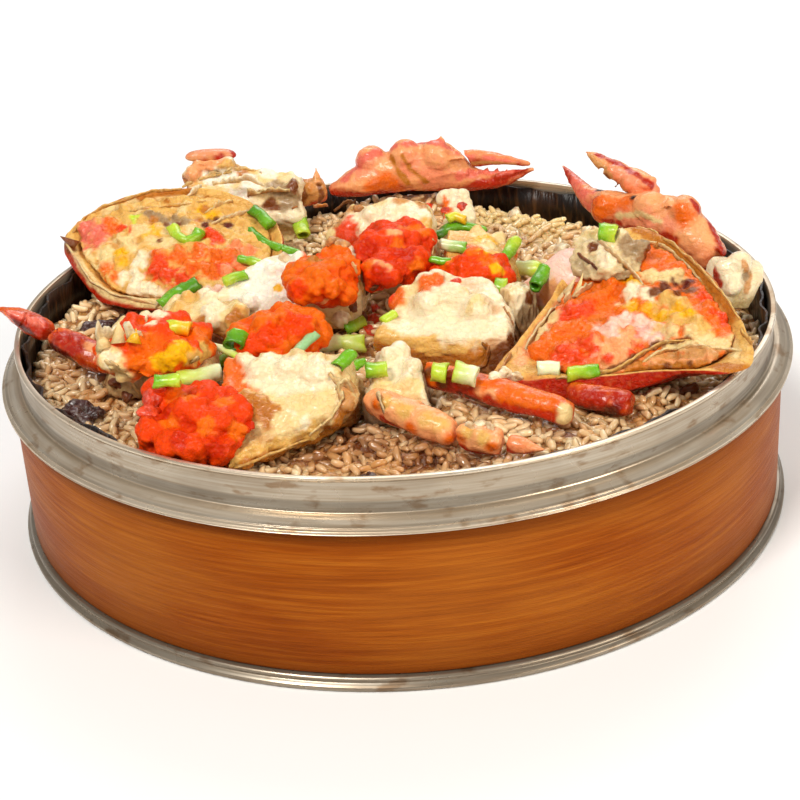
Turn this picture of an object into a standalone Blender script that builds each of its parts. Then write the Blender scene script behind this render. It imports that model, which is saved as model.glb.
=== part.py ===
"""Steamed crab on sticky rice, in its round steamer basket.

A bent wood band with a steel ring at its top and another at its foot holds sticky rice inside a
leaf lining. On the rice lie two upturned crab shells with their filling, two claws, cut pieces of
the body with roe, legs, mushroom slices and chopped spring onion.
Metres, +Z up, the basket's foot on Z = 0 and its axis on Z. Front is -Y.
"""

import math
import random

import bmesh
import bpy
from mathutils import Matrix, Vector, geometry, noise
from mathutils.bvhtree import BVHTree

# Driving sizes of the basket
RIM_RADIUS = 0.130
BASKET_HEIGHT = 0.0657
BAND_RADIUS = 0.1268
BAND_WALL = 0.0042
COLLAR_RADIUS = 0.12365
COLLAR_WALL = 0.0012
FOOT_RADIUS = 0.1294
FOOT_HEIGHT = 0.0042
BASE_THICK = 0.003
GAP = 0.0003

# Driving sizes of the food
RICE_LEVEL = 0.0570
RICE_CROWN = 0.0015
RICE_TRIES = 24000
GRAIN_SPACING = 0.0043
SPARSE_SPACING = 0.0110
GRAIN_BUMP = 0.0016
RICE_HEAP = 0.0080
COVER_HEIGHT = 0.0200
LEAF_THICK = 0.0008
SHELL_THICK = 0.0016
LEG_SIDES = 8
ONION_SIDES = 6
BOWL_STEPS = 26
TURN_STEPS = 52
BOWL_SHARES = (0.45, 0.80, 1.0)

SHOULDER_Z = 0.0542
BEAD_LOW_Z = 0.0512
BAND_TOP_Z = BEAD_LOW_Z - 0.0010
INNER_RADIUS = COLLAR_RADIUS - COLLAR_WALL
LEAF_OUT = INNER_RADIUS - GAP
RICE_RADIUS = LEAF_OUT - LEAF_THICK - GAP
BASE_LOW_Z = FOOT_HEIGHT + GAP
RICE_FLOOR_Z = BASE_LOW_Z + BASE_THICK + GAP
FOOD_FLOOR_Z = RICE_LEVEL - 0.001
FIT_GAPS = (1.6 * GAP, 2.4 * GAP, 3.2 * GAP)

WOOD = (0.42, 0.19, 0.06)
STEEL = (0.60, 0.57, 0.53)
LEAF = (0.07, 0.045, 0.025)
RICE = (0.74, 0.62, 0.43)
RED_SHELL = (0.75, 0.16, 0.06)
PALE_SHELL = (0.85, 0.60, 0.35)
FLESH = (0.93, 0.85, 0.66)
ROE = (0.95, 0.22, 0.03)
GILL = (0.45, 0.34, 0.22)
ONION = (0.35, 0.60, 0.10)
MUSHROOM = (0.05, 0.03, 0.025)


def clear_scene():
    for obj in list(bpy.data.objects):
        bpy.data.objects.remove(obj)


def new_collection(name):
    made = bpy.data.collections.new(name)
    bpy.context.scene.collection.children.link(made)
    return made


def finish(name, colour, roughness=0.5, metallic=0.0):
    """A plain shader of the piece's colour."""
    material = bpy.data.materials.new(name)
    material.use_nodes = True
    shader = material.node_tree.nodes["Principled BSDF"]
    shader.inputs["Base Color"].default_value = (*colour, 1.0)
    shader.inputs["Roughness"].default_value = roughness
    shader.inputs["Metallic"].default_value = metallic
    return material


def object_from(name, shape, material):
    """Closes a bmesh off into a named object of the dish."""
    bmesh.ops.recalc_face_normals(shape, faces=shape.faces[:])
    mesh = bpy.data.meshes.new(name)
    shape.to_mesh(mesh)
    shape.free()
    mesh.materials.append(material)
    obj = bpy.data.objects.new(name, mesh)
    DISH.objects.link(obj)
    mesh.shade_smooth()
    mesh.set_sharp_from_angle(angle=math.radians(40))
    return obj


def applied(obj):
    """Gives the object the mesh that its modifiers make, and drops the modifiers."""
    bpy.context.view_layer.update()
    graph = bpy.context.evaluated_depsgraph_get()
    mesh = bpy.data.meshes.new_from_object(obj.evaluated_get(graph))
    obj.modifiers.clear()
    obj.data = mesh
    return obj


def turned(name, profile, material):
    """A ring from a closed profile of (radius, height), listed down its outer side."""
    shape = bmesh.new()
    corners = [shape.verts.new((radius, 0.0, height)) for radius, height in profile]
    for here, after in zip(corners, corners[1:] + corners[:1]):
        shape.edges.new((here, after))
    mesh = bpy.data.meshes.new(name)
    shape.to_mesh(mesh)
    shape.free()
    mesh.materials.append(material)
    obj = bpy.data.objects.new(name, mesh)
    DISH.objects.link(obj)
    screw = obj.modifiers.new("turn", "SCREW")
    screw.steps = screw.render_steps = TURN_STEPS
    screw.use_merge_vertices = True
    screw.merge_threshold = 0.00005
    screw.use_smooth_shade = True
    return obj


# The basket


def add_top_ring(steel):
    """The steel collar, its shoulder and the bead that covers the band's edge."""
    lip = 0.0004
    profile = [
        (COLLAR_RADIUS + lip, BASKET_HEIGHT),
        (COLLAR_RADIUS, BASKET_HEIGHT - 0.0012),
        (COLLAR_RADIUS, SHOULDER_Z + 0.0012),
        (COLLAR_RADIUS + 0.0010, SHOULDER_Z),
        (RIM_RADIUS - 0.0022, SHOULDER_Z - 0.0003),
        (RIM_RADIUS - 0.0015, SHOULDER_Z - 0.0011),
        (RIM_RADIUS, SHOULDER_Z - 0.0012),
        (RIM_RADIUS, BEAD_LOW_Z),
        (BAND_RADIUS + GAP, BEAD_LOW_Z),
        (BAND_RADIUS + GAP, BAND_TOP_Z + GAP),
        (INNER_RADIUS, BAND_TOP_Z + GAP),
        (INNER_RADIUS, BASKET_HEIGHT),
    ]
    return turned("top_ring", profile, steel)


def add_band(wood):
    inner = BAND_RADIUS - BAND_WALL
    low, high = BASE_LOW_Z, BAND_TOP_Z
    profile = [(BAND_RADIUS, high), (BAND_RADIUS, low), (inner, low), (inner, high)]
    return turned("wood_band", profile, wood)


def add_foot_ring(steel):
    """The steel foot, with a groove between its two beads and a ledge that carries the base."""
    ledge = 0.0060
    bead_z = FOOT_HEIGHT * 0.5
    profile = [
        (FOOT_RADIUS - 0.0014, FOOT_HEIGHT),
        (FOOT_RADIUS - 0.0014, bead_z + 0.0004),
        (FOOT_RADIUS, bead_z - 0.0005),
        (FOOT_RADIUS, 0.0005),
        (FOOT_RADIUS - 0.0006, 0.0),
        (BAND_RADIUS - BAND_WALL - ledge, 0.0),
        (BAND_RADIUS - BAND_WALL - ledge, FOOT_HEIGHT),
    ]
    return turned("foot_ring", profile, steel)


def add_base(wood):
    shape = bmesh.new()
    radius = BAND_RADIUS - BAND_WALL - GAP
    bmesh.ops.create_cone(
        shape,
        cap_ends=True,
        segments=TURN_STEPS,
        radius1=radius,
        radius2=radius,
        depth=BASE_THICK,
        matrix=Matrix.Translation((0, 0, BASE_LOW_Z + BASE_THICK / 2)),
    )
    return object_from("base_disc", shape, wood)


def leaf_top(angle):
    """Height of the lining's torn upper edge."""
    wave = math.sin(5 * angle + 0.7) + 0.6 * math.sin(13 * angle + 2.0)
    return RICE_LEVEL + 0.0066 + 0.0009 * wave


def add_leaf_lining(leaf):
    """The leaf that lines the wall, a thin band with a wavy top."""
    shape = bmesh.new()
    rings = []
    for step in range(TURN_STEPS):
        angle = math.tau * step / TURN_STEPS
        turn = Matrix.Rotation(angle, 3, "Z")
        corners = [
            (LEAF_OUT, leaf_top(angle)),
            (LEAF_OUT, RICE_FLOOR_Z),
            (LEAF_OUT - LEAF_THICK, RICE_FLOOR_Z),
            (LEAF_OUT - LEAF_THICK, leaf_top(angle)),
        ]
        rings.append([shape.verts.new(turn @ Vector((r, 0, z))) for r, z in corners])
    for here, after in zip(rings, rings[1:] + rings[:1]):
        for k in range(4):
            n = (k + 1) % 4
            shape.faces.new((here[k], here[n], after[n], after[k]))
    return object_from("leaf_lining", shape, leaf)


# Shapes that the food is made from


def placed(centre, heading=0.0, pitch=0.0, roll=0.0):
    """A place and a turn: roll about X, pitch about Y, heading about Z, in degrees."""
    turn = (
        Matrix.Rotation(math.radians(heading), 4, "Z")
        @ Matrix.Rotation(math.radians(pitch), 4, "Y")
        @ Matrix.Rotation(math.radians(roll), 4, "X")
    )
    return Matrix.Translation(centre) @ turn


def roughen(shape, grain, depth, seed):
    """Moves each vertex along its normal by smooth noise of the grain's size."""
    shape.normal_update()
    offset = Vector((seed * 3.1, seed * 1.7, seed * 2.3))
    moves = [v.normal * depth * noise.noise(v.co / grain + offset) for v in shape.verts]
    for vert, move in zip(shape.verts, moves):
        vert.co += move


def level_under(shape, floor_z):
    """Presses what lies under floor_z flat."""
    for vert in shape.verts:
        vert.co.z = max(vert.co.z, floor_z)


def softened(name, shape, crease, levels):
    """A subdivided copy of a cage, as a bmesh."""
    cage = bpy.data.meshes.new(name)
    shape.to_mesh(cage)
    shape.free()
    obj = bpy.data.objects.new(name, cage)
    DISH.objects.link(obj)
    creases = cage.attributes.new("crease_edge", "FLOAT", "EDGE")
    creases.data.foreach_set("value", [crease] * len(cage.edges))
    soften = obj.modifiers.new("soften", "SUBSURF")
    soften.levels = soften.render_levels = levels
    applied(obj)
    shape = bmesh.new()
    shape.from_mesh(obj.data)
    bpy.data.objects.remove(obj)
    return shape


def add_block(name, material, corners, rough, seed, swell=1.05):
    """A cut piece between eight corners: four of its foot, then four of its crown."""
    shape = bmesh.new()
    bmesh.ops.create_cube(shape, size=1.0)
    middle = sum((Vector(c) for c in corners), Vector()) / len(corners)
    for vert in shape.verts:
        x, y, z = (value > 0 for value in vert.co)
        around = (1 if x else 0) if not y else (2 if x else 3)
        vert.co = middle.lerp(Vector(corners[around + (4 if z else 0)]), swell)
    shape = softened(name, shape, crease=0.5, levels=2)
    roughen(shape, 0.008, rough, seed)
    level_under(shape, FOOD_FLOOR_Z)
    return object_from(name, shape, material)


def add_lump(name, material, centre, size, turn=(0, 0, 0), top=0.75, floor_z=0.0, rough=0.001,
             grain=0.008, levels=2, seed=0):
    """A small piece: a block with soft edges, narrower at its top, turned in degrees."""
    shape = bmesh.new()
    bmesh.ops.create_cube(shape, size=1.0)
    for vert in shape.verts:
        share = top if vert.co.z > 0 else 1.0
        vert.co = Vector((vert.co.x * share * size[0], vert.co.y * share * size[1],
                          vert.co.z * size[2]))
    shape = softened(name, shape, crease=0.4, levels=levels)
    shape.transform(placed(centre, *turn))
    roughen(shape, grain, rough, seed)
    level_under(shape, floor_z)
    return object_from(name, shape, material)


def add_heap(name, material, centre, size, heading, floor_z, lobe=0.0075, depth=0.0030, seed=0):
    """A heap of roe: an oval of round lobes."""
    shape = bmesh.new()
    bmesh.ops.create_icosphere(shape, subdivisions=3, radius=0.5)
    scale = Matrix.Diagonal((*size, 1.0))
    shape.transform(placed(centre, heading) @ scale)
    roughen(shape, lobe, depth, seed)
    level_under(shape, floor_z)
    return object_from(name, shape, material)


def loft(name, material, stations, sides=LEG_SIDES, up=(0, 0, 1)):
    """A limb through stations of (point, half width, half height), closed at both ends."""
    shape = bmesh.new()
    points = [Vector(point) for point, _, _ in stations]
    rings = []
    for i, (_, wide, high) in enumerate(stations):
        along = (points[min(i + 1, len(points) - 1)] - points[max(i - 1, 0)]).normalized()
        side = along.cross(Vector(up)).normalized()
        above = side.cross(along)
        ring = []
        for k in range(sides):
            angle = math.tau * (k + 0.5) / sides
            place = points[i] + side * wide * math.cos(angle) + above * high * math.sin(angle)
            ring.append(shape.verts.new(place))
        rings.append(ring)
    for here, after in zip(rings, rings[1:]):
        for k in range(sides):
            n = (k + 1) % sides
            shape.faces.new((here[k], here[n], after[n], after[k]))
    shape.faces.new(rings[0])
    shape.faces.new(rings[-1])
    return object_from(name, shape, material)


# The crab's shells, which lie upside down and hold their filling


def smooth_loop(points, count):
    """Evenly many places on a closed smooth curve through the points."""
    places = []
    for k in range(count):
        at = k * len(points) / count
        i, t = int(at), at % 1.0
        a, b, c, d = (Vector(points[(i + n) % len(points)]) for n in (-1, 0, 1, 2))
        places.append(0.5 * (2 * b + (c - a) * t + (2 * a - 5 * b + 4 * c - d) * t**2
                             + (3 * b - a - 3 * c + d) * t**3))
    return places


class Bowl:
    """An upturned shell: its rim, a loop through points, and the depth of its hollow.

    The hollow ends at reach from the middle, and the rim's corners run out flat beyond it."""

    def __init__(self, rim, middle, depth, reach):
        self.rim = smooth_loop(rim, BOWL_STEPS)
        self.middle = Vector(middle)
        self.depth = depth
        self.edge = []
        for place in self.rim:
            length = (place - self.middle).length
            self.edge.append(self.middle.lerp(place, min(reach / length, 0.95)))
        self.up = Vector()
        for here, after in zip(self.rim, self.rim[1:] + self.rim[:1]):
            self.up += (here - self.middle).cross(after - self.middle)
        self.up.normalize()

    def inner(self, share, k):
        """A place on the hollow's face, at a share of the way from the middle to its edge."""
        level = self.middle.lerp(self.edge[k], share)
        return level - self.up * self.depth * (1.0 - share**2.6)


def fan_and_rings(shape, middle, rings):
    """Faces from a middle vertex out through rings of vertices."""
    count = len(rings[0])
    for k in range(count):
        n = (k + 1) % count
        shape.faces.new((middle, rings[0][k], rings[0][n]))
        for inner, outer in zip(rings, rings[1:]):
            shape.faces.new((inner[k], outer[k], outer[n], inner[n]))


def add_bowl(name, material, bowl):
    """The shell itself, solidified outwards from its inner face."""
    shape = bmesh.new()
    middle = shape.verts.new(bowl.inner(0, 0))
    steps = range(BOWL_STEPS)
    rings = [[shape.verts.new(bowl.inner(s, k)) for k in steps] for s in BOWL_SHARES]
    rings.append([shape.verts.new(place) for place in bowl.rim])
    fan_and_rings(shape, middle, rings)
    obj = object_from(name, shape, material)
    faces_up = sum(p.normal.dot(bowl.up) * p.area for p in obj.data.polygons) > 0
    wall = obj.modifiers.new("wall", "SOLIDIFY")
    wall.thickness = SHELL_THICK
    wall.offset = -1.0 if faces_up else 1.0
    return applied(obj)


def add_filling(name, material, bowl, swell, seed):
    """What fills a shell: its underside follows the hollow and its top swells in lobes."""
    shape = bmesh.new()
    lobe, depth = 0.011, 0.0026
    offset = Vector((seed * 2.9, seed * 1.3, 0.0))
    steps = range(BOWL_STEPS)

    def top(share, k):
        base = bowl.middle.lerp(bowl.edge[k], share)
        lobes = depth * noise.noise(base / lobe + offset) * (1.15 - share)
        return base + bowl.up * (swell * (1.0 - share**2) - 0.0012 + lobes)

    def under(share, k):
        return bowl.inner(share, k) + bowl.up * 3 * GAP

    low = [[shape.verts.new(under(s, k)) for k in steps] for s in (*BOWL_SHARES[:2], 0.92)]
    high = [[shape.verts.new(top(s, k)) for k in steps] for s in (0.20, 0.40, 0.60, 0.78, 0.92)]
    fan_and_rings(shape, shape.verts.new(under(0, 0)), low)
    fan_and_rings(shape, shape.verts.new(top(0, 0)), high)
    for k in steps:
        n = (k + 1) % BOWL_STEPS
        shape.faces.new((low[-1][k], low[-1][n], high[-1][n], high[-1][k]))
    return object_from(name, shape, material)


# Fitting pieces to each other


def tree_of(obj):
    return BVHTree.FromPolygons(
        [v.co.copy() for v in obj.data.vertices],
        [tuple(p.vertices) for p in obj.data.polygons],
    )


def swollen(obj, by):
    """A hidden copy of the object that stands proud of it all round."""
    shape = bmesh.new()
    shape.from_mesh(obj.data)
    shape.normal_update()
    for vert in shape.verts:
        vert.co += vert.normal * by
    mesh = bpy.data.meshes.new(obj.name + "_cutter")
    shape.to_mesh(mesh)
    shape.free()
    cutter = bpy.data.objects.new(obj.name + "_cutter", mesh)
    cutter.hide_render = True
    cutter.display_type = "WIRE"
    CUTTERS.objects.link(cutter)
    return cutter


def keep_largest(obj):
    """Drops the loose scraps that a cut leaves."""
    shape = bmesh.new()
    shape.from_mesh(obj.data)
    left, islands = set(shape.verts), []
    while left:
        island, front = set(), [left.pop()]
        while front:
            vert = front.pop()
            island.add(vert)
            for edge in vert.link_edges:
                other = edge.other_vert(vert)
                if other in left:
                    left.discard(other)
                    front.append(other)
        islands.append(island)
    islands.sort(key=len)
    scraps = [vert for island in islands[:-1] for vert in island]
    bmesh.ops.delete(shape, geom=scraps, context="VERTS")
    shape.to_mesh(obj.data)
    shape.free()


def settle(obj, placed_before):
    """Cuts the object back, with a gap, from each earlier piece that it would run into.

    Two rough pieces that graze each other leave slivers with EXACT, so the cut is MANIFOLD,
    and a cut that still touches is made again with a wider gap."""
    for other in placed_before:
        for gap in FIT_GAPS:
            cutter = swollen(other, gap)
            if tree_of(obj).overlap(tree_of(cutter)):
                cut = obj.modifiers.new("fit", "BOOLEAN")
                cut.operation = "DIFFERENCE"
                cut.solver = "MANIFOLD"
                cut.object = cutter
                applied(obj)
                keep_largest(obj)
            bpy.data.objects.remove(cutter)
            if not tree_of(obj).overlap(tree_of(other)):
                break
    return obj


def drop(obj, others, start, step=0.0004):
    """Lowers the object from above until it would touch another, and leaves it there."""
    trees = [tree_of(other) for other in others]
    shape = bmesh.new()
    shape.from_mesh(obj.data)
    shape.transform(Matrix.Translation((0, 0, start)))
    fallen = 0.0
    while fallen < start and not any(
        BVHTree.FromBMesh(shape).overlap(tree) for tree in trees
    ):
        shape.transform(Matrix.Translation((0, 0, -step)))
        fallen += step
    shape.transform(Matrix.Translation((0, 0, 2 * step)))
    shape.to_mesh(obj.data)
    shape.free()
    return obj


# The pieces of the crab, from the back of the dish to the front


def left_bowl():
    """The shell at the left, which leans on the basket's rim behind it."""
    rim = [
        (-0.1170, 0.0530, 0.0740), (-0.1072, 0.0379, 0.0670), (-0.0990, 0.0255, 0.0635),
        (-0.0817, 0.0175, 0.0625), (-0.0645, 0.0120, 0.0625), (-0.0470, 0.0185, 0.0635),
        (-0.0375, 0.0420, 0.0680), (-0.0410, 0.0620, 0.0745), (-0.0580, 0.0730, 0.0820),
        (-0.0781, 0.0725, 0.0845), (-0.0960, 0.0700, 0.0830), (-0.1100, 0.0620, 0.0790),
    ]
    return Bowl(rim, (-0.0760, 0.0470, 0.0735), 0.0175, 0.038)


def right_bowl():
    """The shell at the right, which leans on the basket's rim before it."""
    rim = [
        (0.0250, -0.0650, 0.0640), (0.0445, -0.0676, 0.0650), (0.0592, -0.0708, 0.0655),
        (0.0730, -0.0700, 0.0660), (0.0880, -0.0775, 0.0690), (0.1000, -0.0815, 0.0700),
        (0.1046, -0.0700, 0.0725), (0.1020, -0.0500, 0.0780), (0.0967, -0.0259, 0.0820),
        (0.0876, -0.0054, 0.0850), (0.0790, 0.0010, 0.0860), (0.0680, -0.0050, 0.0840),
        (0.0573, -0.0140, 0.0795), (0.0473, -0.0313, 0.0730), (0.0360, -0.0491, 0.0680),
    ]
    return Bowl(rim, (0.0740, -0.0420, 0.0740), 0.0165, 0.038)


def add_back_claw(shell):
    """The claw at the back, its pincers to the right."""
    palm = loft("claw_back_palm", shell, [
        ((-0.0225, 0.1060, 0.0679), 0.0025, 0.0020),
        ((-0.0145, 0.1060, 0.0700), 0.0067, 0.0052),
        ((-0.0052, 0.1060, 0.0727), 0.0088, 0.0072),
        ((0.0052, 0.1060, 0.0748), 0.0095, 0.0090),
        ((0.0155, 0.1060, 0.0757), 0.0095, 0.0104),
        ((0.0222, 0.1060, 0.0755), 0.0088, 0.0110),
        ((0.0269, 0.1060, 0.0725), 0.0075, 0.0082),
        ((0.0341, 0.1055, 0.0681), 0.0057, 0.0042),
        ((0.0444, 0.1050, 0.0685), 0.0041, 0.0031),
        ((0.0517, 0.1040, 0.0705), 0.0027, 0.0019),
        ((0.0573, 0.1035, 0.0727), 0.0008, 0.0006),
    ], sides=10)
    finger = loft("claw_back_finger", shell, [
        ((0.0300, 0.1060, 0.0780), 0.0045, 0.0038),
        ((0.0413, 0.1055, 0.0771), 0.0037, 0.0029),
        ((0.0496, 0.1040, 0.0758), 0.0027, 0.0018),
        ((0.0561, 0.1035, 0.0746), 0.0008, 0.0006),
    ])
    wrist = loft("claw_back_wrist", shell, [
        ((-0.0362, 0.1040, 0.0672), 0.0055, 0.0052),
        ((-0.0295, 0.1050, 0.0684), 0.0062, 0.0066),
        ((-0.0236, 0.1060, 0.0690), 0.0050, 0.0052),
    ])
    return [palm, finger, wrist]


def add_right_claw(shell):
    """The claw at the right, its pincers open towards the back."""
    up = (0.3, -0.5, 0.8)
    palm = loft("claw_right_palm", shell, [
        ((0.1077, 0.0040, 0.0702), 0.0058, 0.0056),
        ((0.1035, 0.0110, 0.0740), 0.0080, 0.0082),
        ((0.0985, 0.0175, 0.0785), 0.0092, 0.0096),
        ((0.0900, 0.0240, 0.0795), 0.0086, 0.0088),
        ((0.0830, 0.0300, 0.0800), 0.0070, 0.0070),
        ((0.0770, 0.0345, 0.0800), 0.0055, 0.0058),
        ((0.0703, 0.0410, 0.0812), 0.0040, 0.0042),
        ((0.0668, 0.0500, 0.0850), 0.0026, 0.0026),
        ((0.0631, 0.0580, 0.0886), 0.0008, 0.0007),
    ], sides=10, up=up)
    finger = loft("claw_right_finger", shell, [
        ((0.0915, 0.0310, 0.0872), 0.0050, 0.0044),
        ((0.0830, 0.0380, 0.0900), 0.0040, 0.0036),
        ((0.0762, 0.0450, 0.0935), 0.0028, 0.0024),
        ((0.0701, 0.0505, 0.0957), 0.0008, 0.0007),
    ], up=up)
    return [palm, finger]


def add_legs(shell):
    """Each leg's segments, from the body outwards: place, half width and half height."""
    rows = {
        "leg_left_upper": [
            ((-0.0905, -0.0345, 0.0640), 0.0052, 0.0045),
            ((-0.1010, -0.0265, 0.0665), 0.0058, 0.0050),
            ((-0.1095, -0.0205, 0.0685), 0.0044, 0.0040),
        ],
        "leg_left_lower": [
            ((-0.1108, -0.0192, 0.0690), 0.0044, 0.0040),
            ((-0.1170, -0.0140, 0.0708), 0.0048, 0.0042),
            ((-0.1232, -0.0090, 0.0722), 0.0032, 0.0030),
            ((-0.1288, -0.0050, 0.0732), 0.0008, 0.0008),
        ],
        "leg_front_upper": [
            ((-0.0090, -0.0760, 0.0665), 0.0042, 0.0042),
            ((0.0000, -0.0845, 0.0650), 0.0056, 0.0056),
            ((0.0085, -0.0905, 0.0640), 0.0055, 0.0054),
            ((0.0150, -0.0945, 0.0628), 0.0036, 0.0036),
        ],
        "leg_front_middle": [
            ((0.0162, -0.0953, 0.0626), 0.0038, 0.0038),
            ((0.0215, -0.0980, 0.0622), 0.0052, 0.0050),
            ((0.0280, -0.1008, 0.0620), 0.0046, 0.0042),
        ],
        "leg_front_tip": [
            ((0.0293, -0.1014, 0.0622), 0.0034, 0.0034),
            ((0.0340, -0.1040, 0.0622), 0.0026, 0.0026),
            ((0.0392, -0.1072, 0.0620), 0.0007, 0.0007),
        ],
        "leg_middle": [
            ((0.0085, -0.0610, 0.0665), 0.0040, 0.0042),
            ((0.0160, -0.0668, 0.0662), 0.0050, 0.0046),
            ((0.0380, -0.0815, 0.0645), 0.0050, 0.0046),
            ((0.0490, -0.0890, 0.0632), 0.0044, 0.0044),
        ],
        "leg_stub": [
            ((0.0500, -0.0700, 0.0615), 0.0050, 0.0040),
            ((0.0590, -0.0765, 0.0615), 0.0052, 0.0042),
            ((0.0672, -0.0810, 0.0612), 0.0050, 0.0042),
        ],
    }
    return [loft(name, shell, stations) for name, stations in rows.items()]


def add_chunks(flesh):
    """The cut body pieces: each one's foot on the rice, (x, y) of its front left, front right,
    back right and back left corners, and its crown, (x, y, z) of the same corners."""
    rows = {
        "chunk_centre": [
            [(-0.007, -0.034), (0.036, -0.050), (0.041, -0.018), (0.000, 0.000)],
            [(-0.008, -0.041, 0.070), (0.036, -0.047, 0.069), (0.032, -0.021, 0.079),
             (0.013, -0.016, 0.083)],
        ],
        "chunk_front": [
            [(-0.050, -0.101), (-0.012, -0.074), (-0.011, -0.050), (-0.050, -0.048)],
            [(-0.049, -0.103, 0.062), (-0.012, -0.082, 0.070), (-0.015, -0.071, 0.079),
             (-0.051, -0.064, 0.077)],
        ],
        "chunk_middle": [
            [(-0.010, -0.076), (0.009, -0.075), (0.010, -0.054), (-0.008, -0.050)],
            [(-0.009, -0.074, 0.066), (0.007, -0.075, 0.066), (0.007, -0.061, 0.073),
             (-0.007, -0.057, 0.074)],
        ],
        "chunk_left": [
            [(-0.058, 0.000), (-0.013, -0.004), (-0.008, 0.022), (-0.050, 0.026)],
            [(-0.060, -0.001, 0.071), (-0.014, -0.012, 0.072), (-0.007, 0.012, 0.080),
             (-0.042, 0.013, 0.079)],
        ],
        "chunk_left_low": [
            [(-0.079, -0.004), (-0.047, -0.016), (-0.050, 0.004), (-0.078, 0.012)],
            [(-0.076, -0.007, 0.067), (-0.048, -0.019, 0.068), (-0.052, 0.000, 0.071),
             (-0.073, 0.008, 0.069)],
        ],
        "chunk_front_left": [
            [(-0.092, -0.042), (-0.056, -0.056), (-0.058, -0.022), (-0.096, -0.012)],
            [(-0.090, -0.038, 0.067), (-0.057, -0.062, 0.068), (-0.059, -0.030, 0.072),
             (-0.088, -0.010, 0.070)],
        ],
        "chunk_back": [
            [(-0.018, 0.031), (0.015, 0.020), (0.018, 0.062), (-0.016, 0.064)],
            [(-0.018, 0.044, 0.072), (0.014, 0.024, 0.073), (0.015, 0.046, 0.085),
             (-0.013, 0.049, 0.083)],
        ],
        "chunk_back_right": [
            [(0.018, 0.004), (0.045, 0.002), (0.044, 0.040), (0.020, 0.044)],
            [(0.018, 0.010, 0.070), (0.040, 0.008, 0.068), (0.041, 0.036, 0.071),
             (0.020, 0.040, 0.075)],
        ],
        "gills_back": [
            [(-0.077, 0.079), (-0.034, 0.079), (-0.034, 0.096), (-0.064, 0.098)],
            [(-0.074, 0.080, 0.081), (-0.034, 0.080, 0.078), (-0.034, 0.090, 0.083),
             (-0.072, 0.090, 0.089)],
        ],
        "chunk_small": [
            [(0.020, 0.052), (0.032, 0.052), (0.032, 0.066), (0.020, 0.066)],
            [(0.020, 0.054, 0.074), (0.031, 0.054, 0.072), (0.030, 0.062, 0.078),
             (0.021, 0.063, 0.078)],
        ],
    }
    made = []
    for k, (name, (foot, crown)) in enumerate(rows.items()):
        base = [(x, y, FOOD_FLOOR_Z) for x, y in foot]
        made.append(add_block(name, flesh, base + crown, rough=0.0018, seed=k + 1))
    return made


def add_roe(roe):
    """Heaps of roe that lie on the cut pieces."""
    rows = {
        "roe_front_left": ((-0.0575, -0.0850, 0.0650), (0.0370, 0.0360, 0.0200), -25),
        "roe_upper_left": ((-0.0735, -0.0435, 0.0720), (0.0360, 0.0360, 0.0165), -35),
        "roe_left": ((-0.0230, -0.0040, 0.0755), (0.0240, 0.0330, 0.0150), -12),
        "roe_middle": ((-0.0370, -0.0310, 0.0670), (0.0330, 0.0260, 0.0190), 20),
        "roe_back": ((0.0000, 0.0160, 0.0750), (0.0290, 0.0440, 0.0180), -14),
        "roe_back_right": ((0.0270, 0.0040, 0.0715), (0.0270, 0.0180, 0.0120), -10),
    }
    made = []
    for k, (name, (centre, size, heading)) in enumerate(rows.items()):
        made.append(add_heap(name, roe, centre, size, heading, FOOD_FLOOR_Z, seed=k + 1))
    return made


def add_loose_pieces(flesh, gill, red, pale):
    """Smaller pieces: place, size, turn (heading, pitch, roll) and how soft each one's form is."""
    rows = {
        "clam": (pale, (0.0400, -0.0170, 0.0660), (0.0130, 0.0120, 0.0180), (40, 0, 0), 1),
        "shell_plate": (pale, (0.0500, -0.0010, 0.0690), (0.0180, 0.0300, 0.0150), (-25, 0, 16), 1),
        "arm_stub": (flesh, (0.1085, -0.0160, 0.0700), (0.0160, 0.0170, 0.0160), (25, 20, 0), 2),
        "gill_right": (gill, (0.0690, -0.0180, 0.0810), (0.0260, 0.0240, 0.0110), (-30, 4, 24), 2),
        "shell_chip": (red, (-0.0645, 0.0900, 0.0905), (0.0230, 0.0080, 0.0040), (4, 2, 0), 1),
    }
    made = []
    for k, (name, (finish_of, centre, size, turn, levels)) in enumerate(rows.items()):
        made.append(add_lump(name, finish_of, centre, size, turn, rough=0.0008 * levels,
                             levels=levels, seed=k + 10))
    return made


def add_mushrooms(dark):
    """Dark slices half sunk in the rice: place, size and heading."""
    rows = [
        ((-0.0985, 0.0160, 0.0570), (0.0220, 0.0080, 0.0060), 35),
        ((-0.0975, -0.0520, 0.0575), (0.0160, 0.0110, 0.0055), -25),
        ((-0.0150, -0.1090, 0.0575), (0.0170, 0.0080, 0.0055), 10),
    ]
    made = []
    for k, (centre, size, heading) in enumerate(rows):
        made.append(add_lump(f"mushroom_{k + 1}", dark, centre, size, (heading, 6, 0),
                             levels=1, seed=20 + k))
    return made


def add_onion(name, material, place, length, radius, bend=0.0, flat=1.0):
    """A cut length of spring onion with dished ends."""
    stations, dish = [], 0.0006
    for k in range(3):
        share = k / 2 - 0.5
        along = share * length
        rise = bend * length * (0.25 - share * share)
        stations.append(((along, 0.0, rise), radius, radius * flat))
    obj = loft(name, material, stations, sides=ONION_SIDES)
    shape = bmesh.new()
    shape.from_mesh(obj.data)
    ends = [face for face in shape.faces if len(face.verts) == ONION_SIDES]
    bmesh.ops.inset_individual(shape, faces=ends, thickness=radius * 0.35)
    shape.normal_update()
    for face in ends:
        for vert in face.verts:
            vert.co -= face.normal * dish
    shape.transform(place)
    shape.to_mesh(obj.data)
    shape.free()
    return obj


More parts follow.
